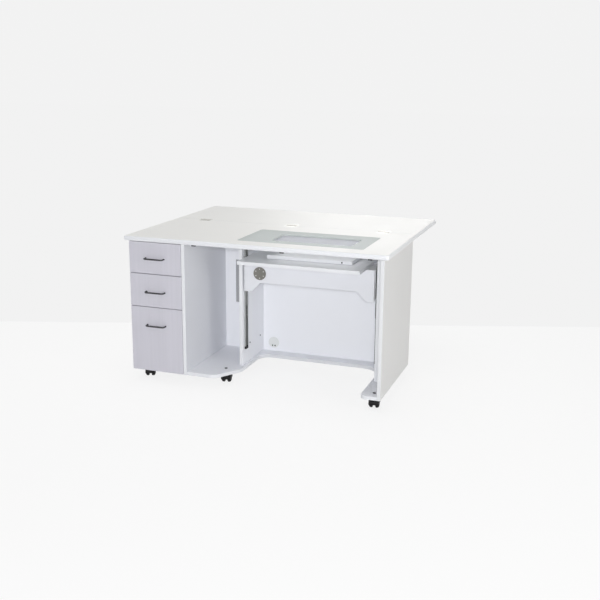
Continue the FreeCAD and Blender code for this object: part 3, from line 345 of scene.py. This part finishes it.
mouldedLooks = {
    "hoodNylon": {"colour": (0.006, 0.006, 0.007), "rough": 0.42, "gloss": 0.14, "scale": 1500.0,
                  "texture": 0.2, "dusty": 0.04, "dustColour": houseDust},
    "wheelNylon": {"colour": (0.006, 0.006, 0.007), "rough": 0.36, "gloss": 0.14, "scale": 1300.0,
                   "texture": 0.12, "dusty": 0.03, "dustColour": houseDust},
    "wornTread": {"colour": (0.01, 0.01, 0.011), "rough": 0.56, "gloss": 0.12, "scale": 700.0,
                  "texture": 0.4, "dusty": 0.06, "dustColour": (0.2, 0.19, 0.18)},
    "capBlack": {"colour": (0.03, 0.03, 0.034), "rough": 0.36, "gloss": 0.5, "scale": 1200.0,
                 "texture": 0.12, "dusty": 0.05, "dustColour": houseDust},
    "bufferRubber": {"colour": (0.012, 0.012, 0.013), "rough": 0.66, "gloss": 0.2, "scale": 800.0,
                     "texture": 0.35, "dusty": 0.04, "dustColour": houseDust},
    "discGrey": {"colour": (0.19, 0.183, 0.165), "rough": 0.46, "gloss": 0.3, "scale": 1100.0,
                 "texture": 0.14, "dusty": 0.05, "dustColour": (0.5, 0.5, 0.48)},
    "discPale": {"colour": (0.62, 0.62, 0.6), "rough": 0.42, "gloss": 0.45, "scale": 1100.0,
                 "texture": 0.14, "dusty": 0.05, "dustColour": (0.5, 0.5, 0.48)},
    "grommetWhite": {"colour": (0.8, 0.815, 0.81), "rough": 0.36, "gloss": 0.5, "scale": 1200.0,
                     "texture": 0.1, "dusty": 0.08, "dustColour": (0.6, 0.59, 0.56)},
}
acrylicLook = {"colour": (0.7, 0.745, 0.735), "rough": 0.48, "body": 0.7}

finishes = {name: boardFinish(name, look) for name, look in boardLooks.items()}
finishes.update({name: metalFinish(name, look) for name, look in metalLooks.items()})
finishes.update({name: mouldedFinish(name, look) for name, look in mouldedLooks.items()})
finishes.update({name: bandFinish(name, look) for name, look in bandLooks.items()})
finishes["drawerLaminate"] = laminateFinish("drawerLaminate", laminateLook)
finishes["frostedInsert"] = acrylicFinish("frostedInsert", acrylicLook)
print("finishes made:", len(finishes))


# Pieces: a merged copy of a node with its sharp corners eased, or a new shape in its place
easing = {"weld": 0.01 * mm, "flat": math.radians(0.4), "corner": math.radians(28),
          "sharp": math.radians(50), "segments": 2, "profile": 0.5}


def weldedCopy(node):
    shape = bmesh.new()
    shape.from_mesh(nodes[node].data)
    bmesh.ops.remove_doubles(shape, verts=shape.verts, dist=easing["weld"])
    return shape


def mergedCopy(node):
    shape = weldedCopy(node)
    bmesh.ops.dissolve_limit(shape, angle_limit=easing["flat"], verts=shape.verts, edges=shape.edges)
    return shape


def easeEdges(shape, width, edges=None, segments=None):
    if edges is None:
        edges = [e for e in shape.edges if len(e.link_faces) == 2 and e.calc_face_angle() > easing["corner"]]
    bmesh.ops.bevel(shape, geom=edges, offset=width, offset_type="OFFSET", profile=easing["profile"],
                    affect="EDGES", segments=segments or easing["segments"], material=-1, clamp_overlap=True)


def mirrorAcross(shape, centre):
    bmesh.ops.mirror(shape, geom=shape.verts[:] + shape.edges[:] + shape.faces[:],
                     matrix=Matrix.Translation(-centre), merge_dist=easing["weld"], axis="X")
    bmesh.ops.remove_doubles(shape, verts=shape.verts, dist=easing["weld"])
    bmesh.ops.recalc_face_normals(shape, faces=shape.faces)


def finishPiece(name, shape, body, materials, replaced=()):
    mesh = bpy.data.meshes.new(name)
    shape.normal_update()
    shape.to_mesh(mesh)
    shape.free()
    mesh.shade_smooth()
    mesh.set_sharp_from_angle(angle=easing["sharp"])
    for material in materials:
        mesh.materials.append(finishes[material])
    piece = bpy.data.objects.new(name, mesh)
    bpy.context.scene.collection.objects.link(piece)
    weighted = piece.modifiers.new("evenShading", "WEIGHTED_NORMAL")
    weighted.keep_sharp = True
    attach(piece, body)
    if replaced:
        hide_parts(*replaced)


def standFor(node, shape, materials):
    finishPiece(node + "_piece", shape, bodyOf[node], materials, [node])


# The boxes of a node's separate solids
def islands(node):
    shape = weldedCopy(node)
    left = dict.fromkeys(shape.verts)
    boxes = []
    while left:
        group = [left.popitem()[0]]
        for vert in group:
            for edge in vert.link_edges:
                other = edge.other_vert(vert)
                if other in left:
                    del left[other]
                    group.append(other)
        low = Vector([min(v.co[axis] for v in group) for axis in range(3)])
        high = Vector([max(v.co[axis] for v in group) for axis in range(3)])
        boxes.append((low, high))
    shape.free()
    return boxes


# Boards: faces in melamine, narrow edges in edge band
boardSet = {
    "ease": 0.8 * mm, "flatEnough": 0.9,
    "bands": {"right_panel": "sideShadeBand"},
    "faces": {
        "left_panel": "outerBoard", "right_panel": "outerBoard", "partition": "nicheShadeBoard",
        "divider": "backLitBoard", "inner_right_panel": "innerShadeBoard", "back_panel": "backLitBoard",
        "drawer_floor": "innerShadeBoard", "floor_panel": "backLitBoard", "left_wing": "outerBoard",
        "right_wing": "outerBoard", "lift_board": "backLitBoard", "machine_shelf": "backLitBoard",
        "apron": "apronShadeBoard"}}


def bandEdges(shape, node):
    low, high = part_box(node)
    thin = min(range(3), key=lambda axis: high[axis] - low[axis])
    shape.normal_update()
    for face in shape.faces:
        face.material_index = 0 if abs(face.normal[thin]) > boardSet["flatEnough"] else 1


for node, face in boardSet["faces"].items():
    board = mergedCopy(node)
    easeEdges(board, boardSet["ease"])
    bandEdges(board, node)
    standFor(node, board, [face, boardSet["bands"].get(node, "edgeBand")])
print("boards eased and banded:", len(boardSet["faces"]))


# Tops: their long edges are rounded already, so only the well and the hinge seats are eased. The bands of
# the short ends get a paler copy of the band: painted light for the light their rounding catches
topSet = {"ease": 0.35 * mm, "endFacing": 0.5}
for node in ("worktop", "rear_leaf"):
    top = mergedCopy(node)
    easeEdges(top, topSet["ease"])
    bandEdges(top, node)
    for face in top.faces:
        if face.material_index == 1 and abs(face.normal.x) > topSet["endFacing"]:
            face.material_index = 2
    standFor(node, top, ["topBoard", "edgeBand", "endLitBand"])
insert = mergedCopy("well_insert")
easeEdges(insert, topSet["ease"])
standFor("well_insert", insert, ["frostedInsert"])
print("tops and insert made")


# Drawers: grained fronts, white boxes, dark bow handles
drawerSet = {"names": ("top", "middle", "bottom"), "frontEase": 0.4 * mm, "boxEase": 0.6 * mm,
             "floor": 6 * mm, "wall": 12 * mm}
handleSet = {"sides": 24, "foot": 4.5 * mm, "collar": 2.6 * mm, "flare": 3.2 * mm, "neck": 0.9,
             "bend": 11 * mm, "bendSteps": 10, "belly": 1.06, "rim": 0.7 * mm}


def ringOf(extruded):
    return [item for item in extruded["geom"] if isinstance(item, bmesh.types.BMVert)]


def extrudeRing(shape, edges, move, scale, centre):
    ring = bmesh.ops.extrude_edge_only(shape, edges=edges)
    verts = ringOf(ring)
    bmesh.ops.translate(shape, verts=verts, vec=move)
    bmesh.ops.scale(shape, verts=verts, vec=(scale, scale, scale), space=Matrix.Translation(-centre))
    return [e for e in ring["geom"] if isinstance(e, bmesh.types.BMEdge)
            and e.verts[0] in verts and e.verts[1] in verts]


# Half a handle, from its foot round the bend to the middle of the bar, and then its mirror image
def makeHandle(name):
    node = name + "_drawer_handle"
    low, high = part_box(node)
    middle = (low + high) / 2
    foot = Vector((high.x - handleSet["foot"], high.y, middle.z))
    bar = low.y + handleSet["foot"]
    shape = bmesh.new()
    seat = Matrix.Translation(foot) @ Matrix.Rotation(math.pi / 2, 4, "X")
    start = bmesh.ops.create_circle(shape, cap_ends=True, segments=handleSet["sides"],
                                    radius=handleSet["foot"], matrix=seat)
    edges = list(dict.fromkeys(e for v in start["verts"] for e in v.link_edges))
    collar = Vector((0, -handleSet["collar"], 0))
    here = foot + collar
    edges = extrudeRing(shape, edges, collar, 1.0, here)
    rim = list(edges)
    flare = Vector((0, -handleSet["flare"], 0))
    here = here + flare
    edges = extrudeRing(shape, edges, flare, handleSet["neck"], here)
    elbow = Vector((foot.x - handleSet["bend"], bar + handleSet["bend"], foot.z))
    edges = extrudeRing(shape, edges, Vector((0, elbow.y - here.y, 0)), 1.0, here)
    turned = bmesh.ops.spin(shape, geom=edges, cent=elbow, axis=(0, 0, 1), angle=-math.pi / 2,
                            steps=handleSet["bendSteps"])
    edges = [e for e in turned["geom_last"] if isinstance(e, bmesh.types.BMEdge)]
    here = Vector((middle.x, bar, middle.z))
    edges = extrudeRing(shape, edges, Vector((middle.x - elbow.x, 0, 0)), handleSet["belly"], here)
    for vert in {v for e in edges for v in e.verts}:
        vert.co.x = middle.x
    easeEdges(shape, handleSet["rim"], rim)
    mirrorAcross(shape, middle)
    standFor(node, shape, ["handleMetal"])


def addBoard(shape, low, high):
    low, high = Vector(low), Vector(high)
    bmesh.ops.create_cube(shape, size=1.0, matrix=Matrix.Translation((low + high) / 2)
                          @ Matrix.Diagonal((*(high - low), 1.0)))


# Five boards: floor, front, back and two sides
def makeDrawerBox(name):
    node = name + "_drawer_box"
    low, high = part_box(node)
    wall = drawerSet["wall"]
    base = low.z + drawerSet["floor"]
    shape = bmesh.new()
    addBoard(shape, low, (high.x, high.y, base))
    addBoard(shape, (low.x, low.y, base), (high.x, low.y + wall, high.z))
    addBoard(shape, (low.x, high.y - wall, base), (high.x, high.y, high.z))
    addBoard(shape, (low.x, low.y + wall, base), (low.x + wall, high.y - wall, high.z))
    addBoard(shape, (high.x - wall, low.y + wall, base), (high.x, high.y - wall, high.z))
    easeEdges(shape, drawerSet["boxEase"])
    standFor(node, shape, ["drawerBoard"])


for name in drawerSet["names"]:
    front = mergedCopy(name + "_drawer_front")
    easeEdges(front, drawerSet["frontEase"])
    standFor(name + "_drawer_front", front, ["drawerLaminate"])
    makeDrawerBox(name)
    makeHandle(name)
print("drawers made:", len(drawerSet["names"]))


# Casters: hooded twin wheels. The half section, in mm, runs from the middle of the axle to the hub cap
casterSet = {"names": ("front_left", "niche", "right", "rear_left", "rear_middle", "rear_right"),
             "hoodEase": 0.35 * mm, "steps": 56, "treadFrom": 24.2 * mm, "tread": 25.0, "inner": 6.5,
             "outer": 25.5, "innerRound": 6 * mm, "outerRound": 11 * mm, "roundSteps": 6, "rim": 0.4 * mm,
             "section": ((0, 3), (6.5, 3), (6.5, 25), (25.5, 25), (25.5, 13.2), (24.5, 12.4), (24.5, 8.6),
                         (25.5, 7.8), (25.5, 2.2), (24.7, 1.4), (24.7, 0))}
rollAxis = {joint["child"]: Vector(joint["axis"]) for joint in frame["joints"]}


def ringAt(shape, along, radius):
    near = [v for v in shape.verts if abs(v.co.x - along * mm) < easing["weld"]
            and abs(v.co.yz.length - radius * mm) < easing["weld"]]
    return [e for e in shape.edges if e.verts[0] in near and e.verts[1] in near]


def makeWheels(name):
    node = "caster_wheels_" + name
    low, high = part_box(node)
    axis = rollAxis[bodyOf[node]]
    place = Matrix.Translation((low + high) / 2) @ Matrix.Rotation(math.atan2(axis.y, axis.x), 4, "Z")
    shape = bmesh.new()
    points = [shape.verts.new((x * mm, 0, r * mm)) for x, r in casterSet["section"]]
    line = [shape.edges.new(pair) for pair in zip(points, points[1:])]
    bmesh.ops.spin(shape, geom=points + line, cent=(0, 0, 0), axis=(1, 0, 0), angle=2 * math.pi,
                   steps=casterSet["steps"], use_merge=True)
    bmesh.ops.remove_doubles(shape, verts=shape.verts, dist=easing["weld"])
    bmesh.ops.recalc_face_normals(shape, faces=shape.faces)
    for side in ("inner", "outer"):
        shoulder = ringAt(shape, casterSet[side], casterSet["tread"])
        easeEdges(shape, casterSet[side + "Round"], shoulder, casterSet["roundSteps"])
    easeEdges(shape, casterSet["rim"])
    mirrorAcross(shape, Vector())
    for face in shape.faces:
        centre = face.calc_center_median()
        face.material_index = 1 if centre.yz.length > casterSet["treadFrom"] else 0
    bmesh.ops.transform(shape, verts=shape.verts, matrix=place)
    standFor(node, shape, ["wheelNylon", "wornTread"])


for name in casterSet["names"]:
    makeWheels(name)
    hood = mergedCopy("caster_hood_" + name)
    easeEdges(hood, casterSet["hoodEase"])
    standFor("caster_hood_" + name, hood, ["hoodNylon"])
print("casters made:", len(casterSet["names"]))


# Steel, rubber and plastic fittings whose shapes the frame has already
fittingSet = {"ease": 0.4 * mm, "round": 0.25 * mm,
              "finish": {
                  "lift_brackets": "bracketWhite", "niche_bracket": "stripSteel",
                  "drawer_runners": "runnerZinc",
                  "top_drawer_rails": "runnerZinc", "middle_drawer_rails": "runnerZinc",
                  "bottom_drawer_rails": "runnerZinc", "hinge_plates": "hingeNickel",
                  "leaf_hinge_flaps": "hingeNickel", "left_wing_hinges": "hingeNickel",
                  "right_wing_hinges": "hingeNickel", "hinge_pins": "hingeNickel",
                  "cabinet_screws": "plateSteel", "shelf_screw": "capBlack", "shelf_feet": "bufferRubber",
                  "rubber_buffers": "bufferRubber", "strut_cylinder": "strutPaint",
                  "strut_rod": "rodChrome"}}


# Mounting plates below the floor boards, and the caps of their bolts above them
def makeMounts():
    mounts = mergedCopy("caster_mounts")
    easeEdges(mounts, fittingSet["ease"])
    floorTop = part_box("floor_panel")[1].z
    for face in mounts.faces:
        face.material_index = 1 if face.calc_center_median().z > floorTop - fittingSet["ease"] else 0
    standFor("caster_mounts", mounts, ["plateSteel", "capBlack"])


makeMounts()
for node, finish in fittingSet["finish"].items():
    fitting = mergedCopy(node)
    easeEdges(fitting, fittingSet["round"])
    standFor(node, fitting, [finish])
cages = mergedCopy("ball_cages")
standFor("ball_cages", cages, ["ballSteel"])


# The apron's disc has pale marks in its small round hollows, and the grommet's blind cable holes take dark rubber
# as painted shade
hollowSet = {
    "apron_cap": {"finish": ["discGrey", "discPale"], "from": 0.4 * mm, "to": 3 * mm, "within": 0.46},
    "back_grommet": {"finish": ["grommetWhite", "bufferRubber"], "from": 0.3 * mm, "to": 4 * mm,
                     "within": 0.4},
}
rearFacing = 0.5


def makeHollows(node, look):
    disc = mergedCopy(node)
    easeEdges(disc, fittingSet["round"])
    low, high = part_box(node)
    disc.normal_update()
    for face in disc.faces:
        centre = face.calc_center_median()
        fromMiddle = (centre - (low + high) / 2).xz.length
        hollow = look["from"] < centre.y - low.y < look["to"] and face.normal.y < rearFacing
        face.material_index = 1 if hollow and fromMiddle < (high.x - low.x) * look["within"] else 0
    standFor(node, disc, look["finish"])


for node, look in hollowSet.items():
    makeHollows(node, look)


# Slides: bright steel, with near-black steel as painted shade in the channels' hollows and down the front of the
# right pair
slideSet = {"wall": {"lift_channels": 3 * mm, "lift_rails": 0.0}, "square": 0.9}


def makeSlides(node, wall):
    slides = mergedCopy(node)
    easeEdges(slides, fittingSet["round"])
    low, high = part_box(node)
    middle = (low.x + high.x) / 2
    slides.normal_update()
    for face in slides.faces:
        centre = face.calc_center_median()
        towards = math.copysign(1, middle - centre.x)
        web = face.normal.x * towards > slideSet["square"]
        deep = min(centre.x - low.x, high.x - centre.x) < wall
        front = face.normal.y < -slideSet["square"] and centre.x > middle
        face.material_index = 1 if front or (web and deep) else 0
    standFor(node, slides, ["slideSteel", "paintedShadeSteel"])


for node, wall in slideSet["wall"].items():
    makeSlides(node, wall)
fittings = [*fittingSet["finish"], *hollowSet, *slideSet["wall"], "ball_cages", "caster_mounts"]
print("fittings made:", len(fittings))


# Screw heads: tapered with a cross recess, or plain hexagons, standing on plates and boards
screwSet = {"sides": 24, "hexSides": 6, "taper": 0.82, "rim": 0.3, "lobe": 0.55, "waist": 0.4, "recess": 0.6,
            "narrow": 0.8,
            "leaf": {"radius": 3.4 * mm, "height": 0.15 * mm, "apart": 20 * mm, "inset": 13.5 * mm},
            "wing": {"radius": 3.6 * mm, "height": 0.5 * mm, "apart": 20 * mm, "inset": 16 * mm},
            "caster": {"radius": 3.4 * mm, "height": 1.2 * mm, "apart": 15 * mm},
            "handle": {"radius": 4.2 * mm, "height": 1.8 * mm, "apart": 52 * mm},
            "bolt": {"radius": 5 * mm, "height": 3 * mm, "apart": 40 * mm}}
plateThick = {"hinge": 2.5 * mm, "caster": 3 * mm, "bracket": 3 * mm}


def addHead(shape, kind, centre, facing):
    look = screwSet[kind]
    radius, height = look["radius"], look["height"]
    hexagon = kind == "bolt"
    before = set(shape.verts)
    sides = screwSet["hexSides"] if hexagon else screwSet["sides"]
    upper = radius if hexagon else radius * screwSet["taper"]
    bmesh.ops.create_cone(shape, cap_ends=True, segments=sides, radius1=radius, radius2=upper, depth=height,
                          matrix=Matrix.Translation((0, 0, height / 2)))
    ends = {face for vert in shape.verts if vert not in before for face in vert.link_faces}
    top = max(ends, key=lambda face: face.calc_center_median().z)
    bmesh.ops.inset_region(shape, faces=[top], thickness=radius * screwSet["rim"], use_even_offset=True)
    if not hexagon:
        for vert in top.verts:
            if abs(math.sin(2 * math.atan2(vert.co.y, vert.co.x))) > screwSet["lobe"]:
                vert.co.xy *= screwSet["waist"]
        dug = bmesh.ops.extrude_face_region(shape, geom=[top])
        deep = ringOf(dug)
        bmesh.ops.translate(shape, verts=deep, vec=(0, 0, -height * screwSet["recess"]))
        bmesh.ops.scale(shape, verts=deep, vec=(screwSet["narrow"], screwSet["narrow"], 1))
        bmesh.ops.delete(shape, geom=[top], context="FACES_KEEP_BOUNDARY")
        # The recess faces take the near-black steel: painted shade in the cross
        for face in {face for vert in deep for face in vert.link_faces}:
            face.material_index = 1
    turn = Vector(facing).to_track_quat("Z", "X").to_matrix().to_4x4()
    made = [vert for vert in shape.verts if vert not in before]
    bmesh.ops.transform(shape, verts=made, matrix=Matrix.Translation(centre) @ turn)


def makeHeads(name, kind, like, places, finish):
    shape = bmesh.new()
    for centre, facing in places:
        addHead(shape, kind, centre, facing)
    bmesh.ops.recalc_face_normals(shape, faces=shape.faces)
    finishPiece(name, shape, bodyOf[like], [finish, "paintedShadeSteel"])


def pairAlong(axis, apart):
    return [Vector([side * apart if axis == way else 0 for way in range(3)]) for side in (-1, 1)]


def leafPlaces(node, rearward):
    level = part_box("worktop")[1].z
    places = []
    for low, high in islands(node):
        if high.z > level:
            y = high.y - screwSet["leaf"]["inset"] if rearward else low.y + screwSet["leaf"]["inset"]
            middle = Vector(((low.x + high.x) / 2, y, level))
            places += [(middle + step, (0, 0, 1)) for step in pairAlong(0, screwSet["leaf"]["apart"])]
    return places


def wingPlaces(node, onWing):
    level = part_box("worktop")[1].z
    places = []
    for low, high in islands(node):
        if high.z < level:
            side = math.copysign(1, low.x)
            if onWing:
                x = max(low.x * side, high.x * side) - plateThick["hinge"]
                middle = Vector((x * side, high.y - screwSet["wing"]["inset"], (low.z + high.z) / 2))
                facing = (-side, 0, 0)
            else:
                x = min(low.x * side, high.x * side) + screwSet["wing"]["inset"]
                middle = Vector((x * side, low.y + plateThick["hinge"], (low.z + high.z) / 2))
                facing = (0, 1, 0)
            places += [(middle + step, facing) for step in pairAlong(2, screwSet["wing"]["apart"])]
    return places


def casterPlaces():
    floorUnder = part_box("floor_panel")[0].z
    apart = screwSet["caster"]["apart"]
    places = []
    for low, high in islands("caster_mounts"):
        if low.z < floorUnder:
            middle = Vector(((low.x + high.x) / 2, (low.y + high.y) / 2, high.z - plateThick["caster"]))
            places += [(middle + along + across, (0, 0, -1))
                       for along in pairAlong(0, apart) for across in pairAlong(1, apart)]
    return places


def handlePlaces(name):
    low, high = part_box(name + "_drawer_handle")
    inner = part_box(name + "_drawer_box")[0].y + drawerSet["wall"]
    middle = Vector(((low.x + high.x) / 2, inner, (low.z + high.z) / 2))
    return [(middle + step, (0, 1, 0)) for step in pairAlong(0, screwSet["handle"]["apart"])]


def boltPlaces():
    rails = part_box("lift_rails")
    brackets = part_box("lift_brackets")
    places = []
    for low, high in islands("lift_rails"):
        side = math.copysign(1, (rails[0].x + rails[1].x) / 2 - low.x)
        face = max(low.x * side, high.x * side) + plateThick["bracket"]
        middle = Vector((face * side, (low.y + high.y) / 2, (brackets[0].z + brackets[1].z) / 2))
        places += [(middle + step, (side, 0, 0)) for step in pairAlong(2, screwSet["bolt"]["apart"])]
    return places


makeHeads("leaf_plate_screws", "leaf", "hinge_plates", leafPlaces("hinge_plates", False), "hingeNickel")
makeHeads("leaf_flap_screws", "leaf", "leaf_hinge_flaps", leafPlaces("leaf_hinge_flaps", True), "hingeNickel")
makeHeads("wing_plate_screws", "wing", "hinge_plates", wingPlaces("hinge_plates", False), "hingeNickel")
for wing in ("left", "right"):
    hinges = wing + "_wing_hinges"
    makeHeads(wing + "_wing_screws", "wing", hinges, wingPlaces(hinges, True), "hingeNickel")
makeHeads("caster_plate_screws", "caster", "caster_mounts", casterPlaces(), "screwZinc")
for name in drawerSet["names"]:
    makeHeads(name + "_handle_screws", "handle", name + "_drawer_box", handlePlaces(name), "screwZinc")
makeHeads("bracket_bolts", "bolt", "lift_brackets", boltPlaces(), "screwZinc")
print("screws made")


# Floor and studio light
floorSet = {"size": 30.0, "edge": 0.82, "direction": (-0.3295, 0.9441), "near": (0.9, 0.9, 0.895),
            "far": (0.887, 0.887, 0.887), "glow": 0.82, "shine": (1.0, 1.0, 1.0),
            "surface": {"Roughness": 0.9, "Specular IOR Level": 0.0}}
lightSet = {
    "key": {"place": (2.0, -5.6, 2.0), "aim": (0.0, 0.0, 0.4), "size": 0.2, "power": 72.0,
            "colour": (0.985, 0.99, 1.0)},
    "front": {"place": (1.3, -5.2, 0.9), "aim": (0.0, 0.0, 0.4), "size": 1.6, "power": 60.0,
              "colour": (0.985, 0.99, 1.0)},
    "overhead": {"place": (-0.3, -0.4, 4.0), "aim": (-0.1, 0.0, 0.7), "size": 3.0, "power": 42.0,
                 "colour": (1.0, 0.99, 0.97)},
    "right": {"place": (4.5, -2.3, 1.6), "aim": (0.3, 0.0, 0.4), "size": 2.0, "power": 46.0,
              "colour": (1.0, 0.985, 0.96)},
    "left": {"place": (-4.4, 0.4, 2.0), "aim": (-0.5, 0.0, 0.4), "size": 2.4, "power": 16.0,
             "colour": (1.0, 1.0, 1.0)},
    "rear": {"place": (-0.6, 4.6, 2.4), "aim": (0.0, 0.2, 0.4), "size": 2.6, "power": 40.0,
             "colour": (1.0, 1.0, 1.0)},
}
worldSet = {"strength": 0.3, "colour": (0.97, 0.985, 1.0), "backdrop": 0.89}


# Rays that see the backdrop: the camera's own, and those that metal or glass sends on
def shownRay(path):
    ways = path.socket.node.outputs
    mirrored = Wire(path.tree, ways["Is Glossy Ray"])
    passed = Wire(path.tree, ways["Is Transmission Ray"])
    return path.maths("MAXIMUM", path, path.maths("MAXIMUM", mirrored, passed))


def makeFloor():
    shape = bmesh.new()
    bmesh.ops.create_grid(shape, x_segments=1, y_segments=1, size=floorSet["size"])
    mesh = bpy.data.meshes.new("studioFloor")
    shape.to_mesh(mesh)
    shape.free()
    floor = bpy.data.objects.new("studioFloor", mesh)
    bpy.context.scene.collection.objects.link(floor)
    material, shader, coords = newFinish("studioFloor", floorSet["surface"])
    across, along = floorSet["direction"]
    x = coords.node("ShaderNodeSeparateXYZ", {}, {"Vector": coords}, 0)
    y = coords.node("ShaderNodeSeparateXYZ", {}, {"Vector": coords}, 1)
    beyond = x * across + y * along > floorSet["edge"]
    tone = between(beyond, shade(floorSet["near"]), shade(floorSet["far"]))
    connect(shader, {"Base Color": tone})
    path = coords.node("ShaderNodeLightPath", {}, {})
    shine = between(beyond, shade(floorSet["shine"]), shade(floorSet["far"]))
    glow = coords.node("ShaderNodeEmission", {}, {"Color": shine, "Strength": 1.0})
    tree = material.node_tree
    lit = Wire(tree, shader.outputs["BSDF"])
    share = beyond + (1 - beyond) * floorSet["glow"]
    mixed = path.node("ShaderNodeMixShader", {}, {0: shownRay(path) * share, 1: lit, 2: glow})
    tree.links.new(mixed.socket, tree.nodes["Material Output"].inputs["Surface"])
    mesh.materials.append(material)


def makeLights():
    for name, look in lightSet.items():
        lamp = bpy.data.lights.new(name, "AREA")
        lamp.shape = "DISK"
        lamp.size = look["size"]
        lamp.energy = look["power"]
        lamp.color = look["colour"]
        light = bpy.data.objects.new(name, lamp)
        place = Vector(look["place"])
        facing = (Vector(look["aim"]) - place).to_track_quat("-Z", "Y")
        light.matrix_world = Matrix.Translation(place) @ facing.to_matrix().to_4x4()
        bpy.context.scene.collection.objects.link(light)


def makeWorld():
    world = bpy.data.worlds.new("studio")
    world.use_nodes = True
    tree = world.node_tree
    ambient = tree.nodes["Background"]
    ambient.inputs["Color"].default_value = shade(worldSet["colour"])
    ambient.inputs["Strength"].default_value = worldSet["strength"]
    path = Wire(tree, tree.nodes.new("ShaderNodeLightPath").outputs["Is Camera Ray"])
    level = worldSet["backdrop"]
    backdrop = path.node("ShaderNodeBackground", {}, {"Color": (level, level, level, 1.0), "Strength": 1.0})
    dim = Wire(tree, ambient.outputs[0])
    mixed = path.node("ShaderNodeMixShader", {}, {0: shownRay(path), 1: dim, 2: backdrop})
    tree.links.new(mixed.socket, tree.nodes["World Output"].inputs["Surface"])
    bpy.context.scene.world = world


makeFloor()
makeLights()
makeWorld()
bpy.context.scene.view_settings.view_transform = "Standard"
print("floor and lights set")

bpy.context.view_layer.update()
